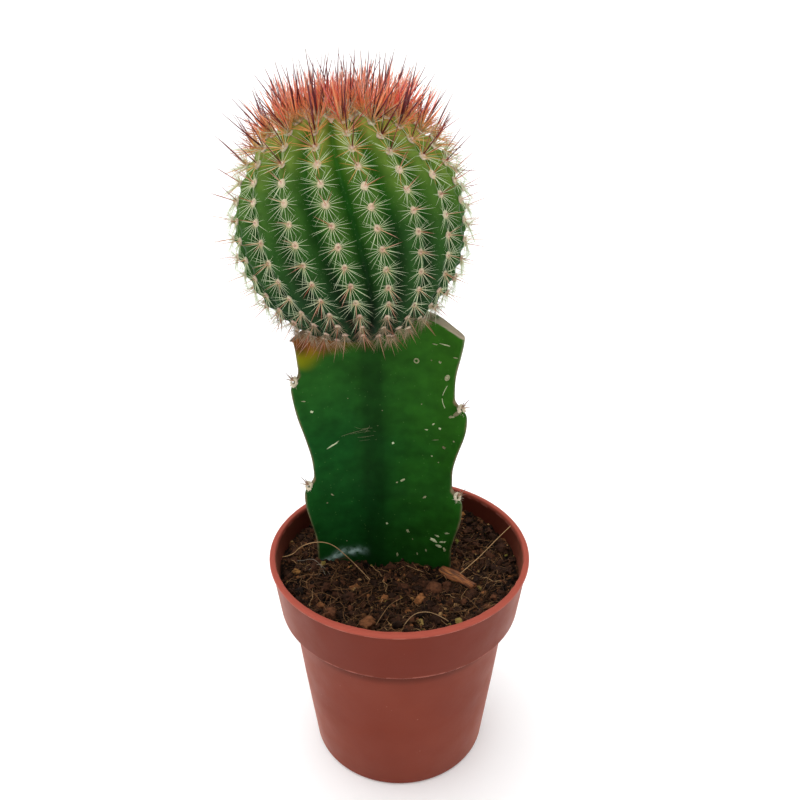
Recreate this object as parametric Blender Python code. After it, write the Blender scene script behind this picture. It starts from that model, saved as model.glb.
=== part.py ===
"""A grafted cactus in a small nursery pot, at its real size.

A ribbed ball cactus (the scion) sits on the cut top of a three-winged green
stem (the rootstock), which stands in a plain hole in potting soil.
Units are metres, +Z is up, and the origin is the centre of the pot's base.
"""
import math
import random

import bmesh
import bpy
from mathutils import Matrix, Vector

MM = 0.001
CLEARANCE = 0.35 * MM          # between pieces that touch each other

# Pot: a tapered plastic nursery pot with a wide band under its lip
POT_HEIGHT = 58.5 * MM
RIM_RADIUS = 32.5 * MM
BASE_RADIUS = 22.9 * MM
POT_WALL = 1.0 * MM
LIP_HEIGHT = 1.3 * MM
LIP_OVERHANG = 0.3 * MM
BAND_HEIGHT = 15.0 * MM
BAND_BOTTOM_RADIUS = 30.4 * MM
STEP_WIDTH = 2.6 * MM          # how far the wall steps in below the band
POT_SIDES = 48
DRAIN_HOLES = 6
DRAIN_RADIUS = 2.2 * MM
DRAIN_CIRCLE = 15.5 * MM
DRAIN_SIDES = 12
POT_FLOOR = 1.2 * MM           # thickness of the pot's bottom

# Soil
SOIL_LEVEL = 51.0 * MM
SOIL_RELIEF = 0.9 * MM
CRUMB_COUNT = 44
CRUMB_SIZES = (0.9 * MM, 1.9 * MM)

# Bark chip that lies on the soil
CHIP_LENGTH = 10.5 * MM
CHIP_WIDTH = 3.2 * MM
CHIP_THICKNESS = 1.3 * MM
CHIP_CENTRE = (14.6 * MM, -4.2 * MM)
CHIP_TURN = math.radians(-42)

# Rootstock: three wings round one upright axis
STOCK_AXIS = (-4.5 * MM, 9.5 * MM)
STOCK_BOTTOM = 37.0 * MM
STOCK_TOP = 118.8 * MM
STRAIGHT_BELOW = 57.0 * MM     # below this height the wings run straight
TAPER_BELOW = 49.0 * MM        # and below this one they narrow to the rooted end
TAPER = 0.32
MARGIN_HALF = 1.2 * MM         # half the thickness of a wing at its margin
ROOT_HALF = 7.6 * MM           # the same at the core
THICKENING = 2.0               # how late a wing thickens from its margin to the core
BEVEL_FROM = 14.0 * MM         # the cut top slopes down outside this radius
BEVEL_SLOPE = 0.55
BEVEL_TILT = 0.2               # and it falls a little to the back across each wing
TILT_OVER = 3.0 * MM           # distance in which that tilt sets in
FLARE_SPAN = (84 * MM, 116 * MM)
SWELL_RISE = (-1.6 * MM, 1.9 * MM)     # from above to below an areole, where a swelling rises
SWELL_FULL = 3.5 * MM          # how far below the areole it begins to fall again
# Each wing: its direction, plain reach, extra reach at the top, and for each
# areole its height, how far the margin swells below it and how far down.
WINGS = (
    {"turn": -27, "reach": 19.6, "flare": 0.0,
     "areoles": ((119, 2.0, 16.4), (97.4, 3.3, 18.5), (73.4, 2.9, 20))},
    {"turn": 90, "reach": 15.8, "flare": 2.4,
     "areoles": ((113, 2.8, 17.5), (90, 3.2, 16.7), (68, 2.4, 16.7))},
    {"turn": 207, "reach": 18.4, "flare": 3.4,
     "areoles": ((132, 2.0, 21), (104.5, 2.6, 26), (76.2, 2.6, 19))},
)

# Scion: a ribbed ball on a leaning axis
SCION_CENTRE = Vector((-10.4 * MM, 6.0 * MM, 138.3 * MM))
SCION_RADIUS = 24.9 * MM       # to the ribs' crests
SCION_LEAN_LEFT = math.radians(3)
SCION_LEAN_BACK = math.radians(16)
RIBS = 19
RIB_DEPTH = 2.6 * MM
RIB_PHASE = math.radians(-132.5)
RIB_TWIST = 0.228              # turn of a rib round the axis for each unit of polar angle
AREOLE_PITCH = math.radians(18)
AREOLE_PHASE = math.radians(6.9)
AREOLE_SPIRALS = 2             # rows that an areole row drops in one turn of the ball
FIRST_AREOLE = math.radians(39)
LAST_AREOLE = math.radians(144)
RADIAL_LENGTH = 4.3 * MM
RADIAL_RISE = math.radians(24)
CENTRAL_TOP = 9.0 * MM         # longest central spines, round the crown
CENTRAL_LOW = 4.5 * MM         # shortest, near the graft

# Crown: the woolly top of the scion with its brush of young spines
CROWN_EDGE = math.radians(33)
CROWN_RECESS = 1.9 * MM
CROWN_PROUD = 0.4 * MM
CROWN_SPINES = 120
CROWN_LENGTHS = (6.5 * MM, 10.5 * MM)
CROWN_LEAN = math.radians(40)  # lean of a spine that stands this far from the axis
CENTRAL_LIFT = 0.26            # how far upper central spines bend back to the axis


def clear_scene():
    for item in list(bpy.data.objects):
        bpy.data.objects.remove(item, do_unlink=True)


def make_material(name, colour, roughness):
    material = bpy.data.materials.new(name)
    material.use_nodes = True
    shader = material.node_tree.nodes["Principled BSDF"]
    shader.inputs["Base Color"].default_value = (*colour, 1.0)
    shader.inputs["Roughness"].default_value = roughness
    return material


def make_object(name, bm, material=None):
    bmesh.ops.recalc_face_normals(bm, faces=bm.faces)
    mesh = bpy.data.meshes.new(name)
    bm.to_mesh(mesh)
    bm.free()
    made = bpy.data.objects.new(name, mesh)
    bpy.context.scene.collection.objects.link(made)
    if material:
        mesh.materials.append(material)
    return made


def apply_modifiers(target):
    """Replace the object's mesh by the one its modifiers make."""
    graph = bpy.context.evaluated_depsgraph_get()
    graph.update()
    mesh = bpy.data.meshes.new_from_object(target.evaluated_get(graph))
    target.modifiers.clear()
    target.data = mesh


def cut(target, cutter):
    """Take the cutter's shape out of the target, then remove the cutter."""
    cutter.display_type = "WIRE"
    cutter.hide_render = True
    boolean = target.modifiers.new("cut", "BOOLEAN")
    boolean.operation = "DIFFERENCE"
    boolean.solver = "EXACT"
    boolean.object = cutter
    apply_modifiers(target)
    bpy.data.objects.remove(cutter, do_unlink=True)


def fuse(target, repeats):
    """Join small repeated solids to the target in one union."""
    group = bpy.data.collections.new(target.name + "_repeats")
    bpy.context.scene.collection.children.link(group)
    for item in repeats:
        bpy.context.scene.collection.objects.unlink(item)
        group.objects.link(item)
    boolean = target.modifiers.new("fuse", "BOOLEAN")
    boolean.operation = "UNION"
    boolean.solver = "EXACT"
    boolean.operand_type = "COLLECTION"
    boolean.collection = group
    apply_modifiers(target)
    for item in repeats:
        bpy.data.objects.remove(item, do_unlink=True)
    bpy.data.collections.remove(group)


def smooth_step(low, high, value):
    share = min(max((value - low) / (high - low), 0.0), 1.0)
    return share * share * (3 - 2 * share)


def add_rings(bm, rings):
    """Skin closed rings of equal length, and close the first and last."""
    loops = [[bm.verts.new(point) for point in ring] for ring in rings]
    count = len(loops[0])
    for lower, upper in zip(loops, loops[1:]):
        for i in range(count):
            j = (i + 1) % count
            bm.faces.new((lower[i], lower[j], upper[j], upper[i]))
    for loop in (loops[0], loops[-1]):
        middle = bm.verts.new(sum((vert.co for vert in loop), Vector()) / count)
        for i in range(count):
            bm.faces.new((loop[i], loop[(i + 1) % count], middle))


# --- pot ---------------------------------------------------------------

def wall_radius(height):
    """Outer radius of the tapered wall below the band."""
    top = POT_HEIGHT - BAND_HEIGHT
    share = height / top
    return BASE_RADIUS + (BAND_BOTTOM_RADIUS - STEP_WIDTH - BASE_RADIUS) * share


def band_radius(height):
    """Outer radius of the band under the lip."""
    share = (height - (POT_HEIGHT - BAND_HEIGHT)) / BAND_HEIGHT
    return BAND_BOTTOM_RADIUS + (RIM_RADIUS - LIP_OVERHANG - BAND_BOTTOM_RADIUS) * share


def pot_profile():
    """The pot's section, from the edge of its underside round to its floor."""
    step = POT_HEIGHT - BAND_HEIGHT
    lip = POT_HEIGHT - LIP_HEIGHT
    outside = [
        (BASE_RADIUS - 0.7 * MM, 0.0),
        (BASE_RADIUS, 0.6 * MM),
        (wall_radius(step) - 0.2 * MM, step - 0.4 * MM),
        (BAND_BOTTOM_RADIUS - 0.5 * MM, step),
        (BAND_BOTTOM_RADIUS, step + 0.5 * MM),
        (band_radius(lip), lip),
        (RIM_RADIUS, lip + 0.3 * MM),
        (RIM_RADIUS, POT_HEIGHT - 0.3 * MM),
        (RIM_RADIUS - 0.3 * MM, POT_HEIGHT),
    ]
    inside = [
        (band_radius(lip) - POT_WALL, POT_HEIGHT),
        (BAND_BOTTOM_RADIUS - POT_WALL, step + 1.0 * MM),
        (wall_radius(step) - POT_WALL, step - 1.2 * MM),
        (BASE_RADIUS - POT_WALL, 1.8 * MM),
        (BASE_RADIUS - POT_WALL - 0.6 * MM, POT_FLOOR),
    ]
    return outside + inside


def circle_loop(bm, radius, height, sides, centre=(0.0, 0.0)):
    """A closed loop of edges round a centre, as its vertices and its edges."""
    turns = [math.tau * i / sides for i in range(sides)]
    verts = [bm.verts.new((centre[0] + radius * math.cos(turn),
                           centre[1] + radius * math.sin(turn), height)) for turn in turns]
    edges = [bm.edges.new((verts[i - 1], verts[i])) for i in range(sides)]
    return verts, edges


def join_loops(bm, lower, upper):
    for i in range(len(lower)):
        bm.faces.new((lower[i - 1], lower[i], upper[i], upper[i - 1]))


def build_pot(material):
    bm = bmesh.new()
    loops = [circle_loop(bm, radius, height, POT_SIDES) for radius, height in pot_profile()]
    for (lower, _), (upper, _) in zip(loops, loops[1:]):
        join_loops(bm, lower, upper)
    under, floor = list(loops[0][1]), list(loops[-1][1])
    for i in range(DRAIN_HOLES):
        turn = math.tau * (i + 0.5) / DRAIN_HOLES
        centre = (DRAIN_CIRCLE * math.cos(turn), DRAIN_CIRCLE * math.sin(turn))
        lower, lower_edges = circle_loop(bm, DRAIN_RADIUS, 0.0, DRAIN_SIDES, centre)
        upper, upper_edges = circle_loop(bm, DRAIN_RADIUS, POT_FLOOR, DRAIN_SIDES, centre)
        join_loops(bm, lower, upper)
        under += lower_edges
        floor += upper_edges
    for edges in (under, floor):
        bmesh.ops.triangle_fill(bm, use_beauty=True, edges=edges)
    pot = make_object("pot", bm, material)
    pot.data.shade_smooth()
    pot.data.set_sharp_from_angle(angle=math.radians(30))
    return pot


# --- rootstock -----------------------------------------------------------

def swelling(below, length):
    """How far a margin swells out, from 0 to 1, at a distance below its areole."""
    rise = smooth_step(*SWELL_RISE, below)
    fall = 1 - smooth_step(SWELL_FULL, length, below)
    return rise * fall


def wing_reach(wing, height):
    """Distance from the stem's axis to a wing's margin."""
    taper = 1 - TAPER * max(TAPER_BELOW - height, 0.0) / (TAPER_BELOW - STOCK_BOTTOM)
    height = max(height, STRAIGHT_BELOW)
    low, high = FLARE_SPAN
    flare = wing["flare"] * MM * min(max((height - low) / (high - low), 0.0), 1.0)
    reach = wing["reach"] * MM + flare
    for level, swell, length in wing["areoles"]:
        reach += swell * MM * swelling(level * MM - height, length * MM)
    return reach * taper


def half_thickness(share):
    """Half a wing's thickness at a share of its reach."""
    return MARGIN_HALF + (ROOT_HALF - MARGIN_HALF) * max(1 - share, 0.0) ** THICKENING


def stock_section(height, grow=0.0):
    """The stem's outline at a height, as (x, y) points, grown outwards by grow."""
    points = []
    for index, wing in enumerate(WINGS):
        turn = math.radians(wing["turn"])
        ahead = Vector((math.cos(turn), math.sin(turn)))
        aside = Vector((-ahead.y, ahead.x))
        reach = wing_reach(wing, height)
        side = [(0.42, 1.0), (0.68, 1.0), (0.90, 1.0), (0.985, 0.62)]
        walk = [(share, -part) for share, part in side]
        walk += [(share, part) for share, part in reversed(side)]
        for share, part in walk:
            across = half_thickness(share) * part + math.copysign(grow, part)
            along = share * reach + (grow if share > 0.95 else 0.0)
            points.append(ahead * along + aside * across)
        following = WINGS[(index + 1) % len(WINGS)]
        spread = math.radians((following["turn"] - wing["turn"]) % 360) / 2
        valley = turn + spread
        depth = 0.93 * ROOT_HALF / math.sin(spread) ** 0.7
        points.append(Vector((math.cos(valley), math.sin(valley))) * (depth + grow))
    axis = Vector(STOCK_AXIS)
    return [point + axis for point in points]


def cut_height(x, y, top):
    """Height of the bevelled top cut above a point."""
    offset = Vector((x - STOCK_AXIS[0], y - STOCK_AXIS[1]))
    turns = [math.radians(wing["turn"]) for wing in WINGS]
    nearest = max((Vector((math.cos(turn), math.sin(turn))) for turn in turns), key=offset.dot)
    behind = offset.y - offset.dot(nearest) * nearest.y
    tilt = BEVEL_TILT * smooth_step(BEVEL_FROM, BEVEL_FROM + TILT_OVER, offset.length)
    return top - BEVEL_SLOPE * max(offset.length - BEVEL_FROM, 0.0) - tilt * behind


def stock_solid(bm, bottom, top, grow=0.0):
    """A length of the stem up to its bevelled top cut."""
    levels = [STOCK_BOTTOM, TAPER_BELOW, STRAIGHT_BELOW]
    while levels[-1] < STOCK_TOP - 8.5 * MM:
        levels.append(levels[-1] + 2.6 * MM)
    levels = [level for level in levels if level >= bottom]
    rings = [[Vector((x, y, level)) for x, y in stock_section(level, grow)] for level in levels]
    axis = Vector(STOCK_AXIS)
    edge = stock_section(top, grow)
    rings.append([Vector((*point, cut_height(*point, top))) for point in edge])
    flat = [axis + (point - axis) * min(0.9, BEVEL_FROM / (point - axis).length) for point in edge]
    rings.append([Vector((*point, top)) for point in flat])
    add_rings(bm, rings)


def near_stock(point, margin):
    """Whether a point is inside the stem grown by a margin."""
    if point.z > STOCK_TOP + margin:
        return False
    offset = Vector((point.x - STOCK_AXIS[0], point.y - STOCK_AXIS[1]))
    for wing in WINGS:
        turn = math.radians(wing["turn"])
        ahead = Vector((math.cos(turn), math.sin(turn)))
        along = offset.dot(ahead)
        across = abs(offset.x * ahead.y - offset.y * ahead.x)
        reach = wing_reach(wing, point.z)
        room = half_thickness(max(along, 0) / reach) + margin
        if -margin < along < reach + margin and across < room:
            return True
    return False


def add_areole(matrix, pad, height, tips, central=None):
    """A small woolly pad, sunk in along -Z, drawn out into a ring of spines.

    tips are the radial spines' ends and central the middle one's, all in the
    pad's own frame, whose +Z is the way out of the plant.
    """
    bm = bmesh.new()
    count = len(tips)
    bmesh.ops.create_cone(bm, cap_ends=True, segments=count, radius1=0.55 * pad,
                          radius2=pad, depth=pad)
    crest = [face for face in bm.faces if face.normal.z > 0.9]
    upper = bmesh.ops.extrude_face_region(bm, geom=crest)["geom"]
    bmesh.ops.delete(bm, geom=crest, context="FACES_ONLY")
    for vert in (item for item in upper if isinstance(item, bmesh.types.BMVert)):
        vert.co = Vector((vert.co.x * 0.5, vert.co.y * 0.5, vert.co.z + height))
    for vert in bm.verts:
        vert.co.z -= 0.35 * pad
    bm.normal_update()
    sides = [face for face in bm.faces
             if face.calc_center_median().z > 0.3 * height and face.normal.z < 0.9]
    middles = bmesh.ops.poke(bm, faces=sides)["verts"]
    for vert in middles:
        vert.co = max(tips, key=lambda tip: tip.xy.normalized().dot(vert.co.xy.normalized()))
    if central:
        top = [face for face in bm.faces if all(vert.co.z > 0.8 * height for vert in face.verts)
               and len(face.verts) == count]
        for vert in bmesh.ops.poke(bm, faces=top)["verts"]:
            vert.co = central
    bmesh.ops.transform(bm, matrix=matrix, verts=bm.verts)
    return make_object("areole", bm)


def ring_of_tips(count, length, rise, start=0.5):
    """Ends of radial spines, spread evenly and raised off the surface."""
    tips = []
    for i in range(count):
        turn = math.tau * (i + start) / count
        out = length * math.cos(rise)
        tips.append(Vector((out * math.cos(turn), out * math.sin(turn), length * math.sin(rise))))
    return tips


def outward_frame(place, outward, upward):
    """A frame at a place, with +Z outward and +Y as near upward as it can be."""
    z_axis = outward.normalized()
    y_axis = (upward - z_axis * upward.dot(z_axis)).normalized()
    x_axis = y_axis.cross(z_axis)
    frame = Matrix((x_axis, y_axis, z_axis)).transposed().to_4x4()
    return Matrix.Translation(place) @ frame


def build_rootstock(material):
    bm = bmesh.new()
    stock_solid(bm, STOCK_BOTTOM, STOCK_TOP)
    stock = make_object("rootstock", bm, material)
    areoles = []
    for wing in WINGS:
        turn = math.radians(wing["turn"])
        ahead = Vector((math.cos(turn), math.sin(turn), 0))
        for level, _, _ in wing["areoles"]:
            height = level * MM
            if height > STOCK_TOP - 6 * MM:
                continue
            place = Vector((*STOCK_AXIS, height)) + ahead * (wing_reach(wing, height) - 0.4 * MM)
            outward = ahead + Vector((0, 0, 0.5))
            tips = ring_of_tips(5, 2.2 * MM, math.radians(38))
            frame = outward_frame(place, outward, Vector((0, 0, 1)))
            areoles.append(add_areole(frame, 1.0 * MM, 0.7 * MM, tips, Vector((0, 0, 3.4 * MM))))
    fuse(stock, areoles)
    return stock


# --- soil and bark ---------------------------------------------------------

def soil_height(x, y):
    """Height of the soil's surface, flat under the bark chip."""
    wave = (math.sin(x * 310 + 1.1) * math.cos(y * 270 + 0.4)
            + 0.6 * math.sin(x * 620 - y * 540 + 2.0))
    mound = 2.0 * MM * math.exp(-((x + 19 * MM) ** 2 + (y - 3 * MM) ** 2) / (9 * MM) ** 2)
    flat = math.hypot(x - CHIP_CENTRE[0], y - CHIP_CENTRE[1])
    fade = smooth_step(0.55 * CHIP_LENGTH, 1.1 * CHIP_LENGTH, flat)
    return SOIL_LEVEL + (SOIL_RELIEF * 0.6 * wave + mound) * fade


def soil_radius(height):
    """Radius of the soil inside the pot's wall."""
    step = POT_HEIGHT - BAND_HEIGHT
    if height > step + 1.0 * MM:
        return band_radius(height) - POT_WALL - CLEARANCE
    return wall_radius(height) - POT_WALL - CLEARANCE


def build_soil(material):
    step = POT_HEIGHT - BAND_HEIGHT
    floor = POT_FLOOR + CLEARANCE
    outline = [
        (BASE_RADIUS - POT_WALL - 1.2 * MM, floor),
        (soil_radius(2.6 * MM) - 0.15 * MM, floor + 1.2 * MM),
        (soil_radius(step - 1.6 * MM) - 0.1 * MM, step - 1.3 * MM),
        (BAND_BOTTOM_RADIUS - POT_WALL - CLEARANCE - 0.1 * MM, step + 1.5 * MM),
    ]
    circle = [(math.cos(math.tau * i / POT_SIDES), math.sin(math.tau * i / POT_SIDES))
              for i in range(POT_SIDES)]
    rings = [[Vector((radius * c, radius * s, height)) for c, s in circle]
             for radius, height in outline]
    edge = soil_radius(SOIL_LEVEL - 0.5 * MM)
    for share in (1.0, 0.84, 0.68, 0.52, 0.36, 0.2):
        spots = [(edge * share * c, edge * share * s) for c, s in circle]
        rings.append([Vector((x, y, soil_height(x, y))) for x, y in spots])
    bm = bmesh.new()
    add_rings(bm, rings)
    soil = make_object("soil", bm, material)
    fuse(soil, soil_crumbs(edge))
    bm = bmesh.new()
    levels = (STOCK_BOTTOM - CLEARANCE, TAPER_BELOW, SOIL_LEVEL + 6 * MM)
    add_rings(bm, [[Vector((x, y, height)) for x, y in stock_section(height, CLEARANCE)]
                   for height in levels])
    cut(soil, make_object("stem_hole", bm))
    return soil


def soil_crumbs(edge):
    """Lumps and granules half sunk in the soil's surface."""
    chance = random.Random(11)
    crumbs = []
    while len(crumbs) < CRUMB_COUNT:
        radius = edge * math.sqrt(chance.random())
        turn = chance.uniform(0, math.tau)
        x, y = radius * math.cos(turn), radius * math.sin(turn)
        size = chance.uniform(*CRUMB_SIZES)
        beside_chip = math.hypot(x - CHIP_CENTRE[0], y - CHIP_CENTRE[1]) < 0.5 * CHIP_LENGTH + size
        if radius > edge - size or beside_chip:
            continue
        if near_stock(Vector((x, y, SOIL_LEVEL)), size + 0.6 * MM):
            continue
        bm = bmesh.new()
        bmesh.ops.create_icosphere(bm, subdivisions=1, radius=size)
        stretch = Matrix.Diagonal((1.0, chance.uniform(0.6, 1.0), chance.uniform(0.5, 0.8), 1.0))
        spin = Matrix.Rotation(chance.uniform(0, math.tau), 4, "Z")
        spin = spin @ Matrix.Rotation(chance.uniform(-0.5, 0.5), 4, "X")
        place = Matrix.Translation((x, y, soil_height(x, y) + 0.15 * size))
        bmesh.ops.transform(bm, matrix=place @ spin @ stretch, verts=bm.verts)
        crumbs.append(make_object("crumb", bm))
    return crumbs


def build_bark_chip(material):
    bm = bmesh.new()
    bmesh.ops.create_cube(bm, size=1.0)
    bmesh.ops.scale(bm, verts=bm.verts, vec=(CHIP_LENGTH, CHIP_WIDTH, CHIP_THICKNESS))
    lengthwise = [edge for edge in bm.edges
                  if abs(edge.verts[0].co.x - edge.verts[1].co.x) > 0.5 * CHIP_LENGTH]
    bmesh.ops.subdivide_edges(bm, edges=lengthwise, cuts=3, use_grid_fill=True)
    for vert in bm.verts:
        share = vert.co.x / CHIP_LENGTH
        vert.co.y *= 1.0 - 0.9 * (share + 0.08) ** 2 * 2 - 0.15 * math.sin(9 * share)
        if vert.co.z > 0:
            vert.co.z += 0.25 * MM * math.sin(11 * share + 1) - 0.5 * CHIP_THICKNESS * share * share * 2
    chip = make_object("bark_chip", bm, material)
    chip.location = (*CHIP_CENTRE, SOIL_LEVEL + CLEARANCE + CHIP_THICKNESS / 2)
    chip.rotation_euler = (0, 0, CHIP_TURN)
    return chip


# --- scion and crown ---------------------------------------------------------

def scion_frame():
    """The scion's own axes: +Z runs up its leaning axis."""
    axis = Vector((-math.sin(SCION_LEAN_LEFT), math.sin(SCION_LEAN_BACK), 0))
    axis.z = math.sqrt(1 - axis.length_squared)
    x_axis = Vector((0, 1, 0)).cross(axis).normalized()
    y_axis = axis.cross(x_axis)
    turned = Matrix((x_axis, y_axis, axis)).transposed().to_4x4()
    return Matrix.Translation(SCION_CENTRE) @ turned


def rib_turn(rib, polar):
    """Angle round the axis of a rib's crest at a polar angle."""
    return RIB_PHASE + math.tau * rib / RIBS + RIB_TWIST * (polar - math.pi / 2)


def scion_radius(polar, turn):
    """Distance from the ball's centre to its ribbed surface."""
    across = math.cos(RIBS * (turn - rib_turn(0, polar)))
    crest = ((1 + across) / 2) ** 0.7
    depth = RIB_DEPTH * smooth_step(math.radians(8), math.radians(50), polar)
    depth *= 1 - 0.5 * smooth_step(math.radians(120), math.radians(165), polar)
    recess = CROWN_RECESS * (1 - smooth_step(CROWN_EDGE - 0.005, CROWN_EDGE + 0.06, polar))
    return SCION_RADIUS - depth * (1 - crest) - recess


def polar_point(radius, polar, turn):
    return Vector((radius * math.sin(polar) * math.cos(turn),
                   radius * math.sin(polar) * math.sin(turn), radius * math.cos(polar)))


def build_scion(material):
    polars = [math.radians(angle) for angle in
              (12, 23, 32.6, 36.5, 45, 55, 66, 77, 88, 99, 110, 121, 132, 143, 155, 167)]
    around = 4 * RIBS
    rings = []
    for polar in polars:
        ring = []
        for i in range(around):
            turn = rib_turn(0, polar) + math.tau * i / around
            ring.append(polar_point(scion_radius(polar, turn), polar, turn))
        rings.append(ring)
    bm = bmesh.new()
    add_rings(bm, rings)
    bmesh.ops.transform(bm, matrix=scion_frame(), verts=bm.verts)
    scion = make_object("scion", bm, material)
    fuse(scion, scion_areoles())
    bm = bmesh.new()
    stock_solid(bm, STOCK_TOP - 14 * MM, STOCK_TOP + CLEARANCE, CLEARANCE)
    cut(scion, make_object("graft_seat", bm))
    return scion


def areole_polars(rib):
    """Polar angles of the areoles along a rib, in rows that climb round the ball."""
    polar = AREOLE_PHASE + AREOLE_PITCH * AREOLE_SPIRALS * rib / RIBS
    polar -= AREOLE_PITCH * math.floor((polar - FIRST_AREOLE) / AREOLE_PITCH)
    while polar < LAST_AREOLE:
        yield polar
        polar += AREOLE_PITCH


def scion_areoles():
    """Pads with radial spines all over the ribs, and one central spine each."""
    chance = random.Random(5)
    frame = scion_frame()
    made = []
    for rib in range(RIBS):
        for polar in areole_polars(rib):
            turn = rib_turn(rib, polar)
            outward = polar_point(1, polar, turn)
            upward = polar_point(1, polar - 0.01, turn) - outward
            local = outward_frame(polar_point(SCION_RADIUS, polar, turn), outward, upward)
            room = 0.5 * math.tau / RIBS * SCION_RADIUS * math.sin(polar)
            length = min(RADIAL_LENGTH, 0.95 * room)
            low = smooth_step(math.radians(40), math.radians(115), polar)
            reach = CENTRAL_TOP + (CENTRAL_LOW - CENTRAL_TOP) * low
            reach *= chance.uniform(0.9, 1.0)
            lean = polar * CENTRAL_LIFT * (1 - low)
            central = Vector((0, reach * math.sin(lean), reach * math.cos(lean)))
            tips = ring_of_tips(6, length, RADIAL_RISE, start=0.5)
            place = frame @ local
            if any(near_stock(place @ tip, 0.8 * MM) for tip in tips + [central, Vector()]):
                continue
            made.append(add_areole(place, 0.95 * MM, 0.7 * MM, tips, central))
    return made


def build_crown(material):
    """A cap of wool in the recess at the ball's top, with its young spines."""
    inner = SCION_RADIUS - CROWN_RECESS + CLEARANCE
    outer = SCION_RADIUS + CROWN_PROUD
    edge = CROWN_EDGE - math.radians(1.6)
    sides = 24
    layers = [(inner, edge * 0.25), (inner, edge * 0.6), (inner, edge * 0.96), (inner + 0.5 * MM, edge),
              (outer - 0.5 * MM, edge), (outer, edge * 0.9), (outer + 0.3 * MM, edge * 0.62),
              (outer + 0.3 * MM, edge * 0.3)]
    rings = [[polar_point(radius, polar, math.tau * i / sides) for i in range(sides)]
             for radius, polar in layers]
    bm = bmesh.new()
    add_rings(bm, rings)
    bmesh.ops.transform(bm, matrix=scion_frame(), verts=bm.verts)
    crown = make_object("crown", bm, material)
    fuse(crown, crown_spines(edge, outer))
    return crown


def crown_spines(edge, outer):
    """Three-sided needles in a sunflower pattern, leaning out from the axis."""
    chance = random.Random(3)
    golden = math.pi * (3 - math.sqrt(5))
    made = []
    for i in range(CROWN_SPINES):
        polar = edge * 0.92 * math.sqrt((i + 0.5) / CROWN_SPINES)
        turn = golden * i
        length = chance.uniform(*CROWN_LENGTHS)
        sunk = 1.0 * MM
        bm = bmesh.new()
        bmesh.ops.create_cone(bm, cap_ends=True, segments=3, radius1=0.36 * MM, radius2=0,
                              depth=length + sunk)
        lean = polar * polar / CROWN_LEAN + chance.uniform(-0.05, 0.05)
        aim = Matrix.Rotation(turn, 4, "Z") @ Matrix.Rotation(lean, 4, "Y")
        root = polar_point(outer - sunk, polar, turn)
        lift = Matrix.Translation((0, 0, (length + sunk) / 2))
        bmesh.ops.transform(bm, matrix=scion_frame() @ Matrix.Translation(root) @ aim @ lift,
                            verts=bm.verts)
        made.append(make_object("spine", bm))
    return made


def main():
    clear_scene()
    build_pot(make_material("terracotta_plastic", (0.30, 0.09, 0.06), 0.45))
    build_soil(make_material("potting_soil", (0.09, 0.05, 0.03), 0.95))
    build_bark_chip(make_material("pine_bark", (0.30, 0.13, 0.06), 0.85))
    build_rootstock(make_material("green_stem", (0.02, 0.11, 0.03), 0.35))
    build_scion(make_material("green_flesh", (0.06, 0.16, 0.03), 0.5))
    build_crown(make_material("red_spines", (0.55, 0.10, 0.05), 0.6))


main()
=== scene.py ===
import math
import random

import bpy
from mathutils import Matrix, Vector, noise


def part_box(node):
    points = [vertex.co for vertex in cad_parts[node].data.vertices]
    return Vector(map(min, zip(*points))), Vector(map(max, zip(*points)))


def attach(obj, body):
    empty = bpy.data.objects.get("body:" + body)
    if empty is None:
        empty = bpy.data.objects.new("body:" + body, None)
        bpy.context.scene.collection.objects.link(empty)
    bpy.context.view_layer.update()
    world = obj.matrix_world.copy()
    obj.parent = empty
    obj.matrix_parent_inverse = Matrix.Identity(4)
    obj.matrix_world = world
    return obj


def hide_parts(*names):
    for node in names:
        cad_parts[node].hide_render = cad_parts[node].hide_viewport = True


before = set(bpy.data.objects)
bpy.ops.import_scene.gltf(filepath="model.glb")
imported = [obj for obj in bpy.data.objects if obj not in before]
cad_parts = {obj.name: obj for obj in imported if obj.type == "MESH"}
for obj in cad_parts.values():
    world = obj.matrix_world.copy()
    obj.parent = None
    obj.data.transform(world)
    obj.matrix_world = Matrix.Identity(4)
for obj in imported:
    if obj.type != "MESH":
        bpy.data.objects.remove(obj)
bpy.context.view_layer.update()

mm = 0.001
potLow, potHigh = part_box("pot")
stemLow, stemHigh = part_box("rootstock")
up = Vector((0, 0, 1))
nearlyDown = Vector((0, 0.01, -1))          # never quite in line with a strand


def deselectAll():
    bpy.ops.object.select_all(action="DESELECT")


def takeUp(*pieces):
    deselectAll()
    for piece in pieces:
        piece.select_set(True)
    bpy.context.view_layer.objects.active = pieces[0]


def nameActive(name):
    piece = bpy.context.active_object
    piece.name = name
    piece.data.name = name
    return piece


def editAll():
    bpy.ops.object.mode_set(mode="EDIT")
    bpy.ops.mesh.select_all(action="SELECT")


def leaveEdit():
    bpy.ops.object.mode_set(mode="OBJECT")


def finishPiece(piece, material, slot, *nodes, sharp=None):
    takeUp(piece)
    bpy.ops.object.transform_apply(location=True, rotation=True, scale=True)
    if sharp is None:
        bpy.ops.object.shade_smooth()
    else:
        bpy.ops.object.shade_smooth_by_angle(angle=math.radians(sharp))
    piece.data.materials.clear()
    piece.data.materials.append(material)
    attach(piece, "root")
    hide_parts(*nodes)
    print("finished", piece.name, len(piece.data.polygons), "faces")


def applyModifier(piece, kind, **settings):
    takeUp(piece)
    modifier = piece.modifiers.new(kind, kind)
    for key, value in settings.items():
        setattr(modifier, key, value)
    bpy.ops.object.modifier_apply(modifier=modifier.name)


def smoothStep(low, high, value):
    share = min(max((value - low) / (high - low), 0.0), 1.0)
    return share * share * (3 - 2 * share)


def fade(low, high, angle):                # the same between two angles in degrees
    return smoothStep(math.radians(low), math.radians(high), angle)


def mix(first, second, share):
    return first + (second - first) * share


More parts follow.
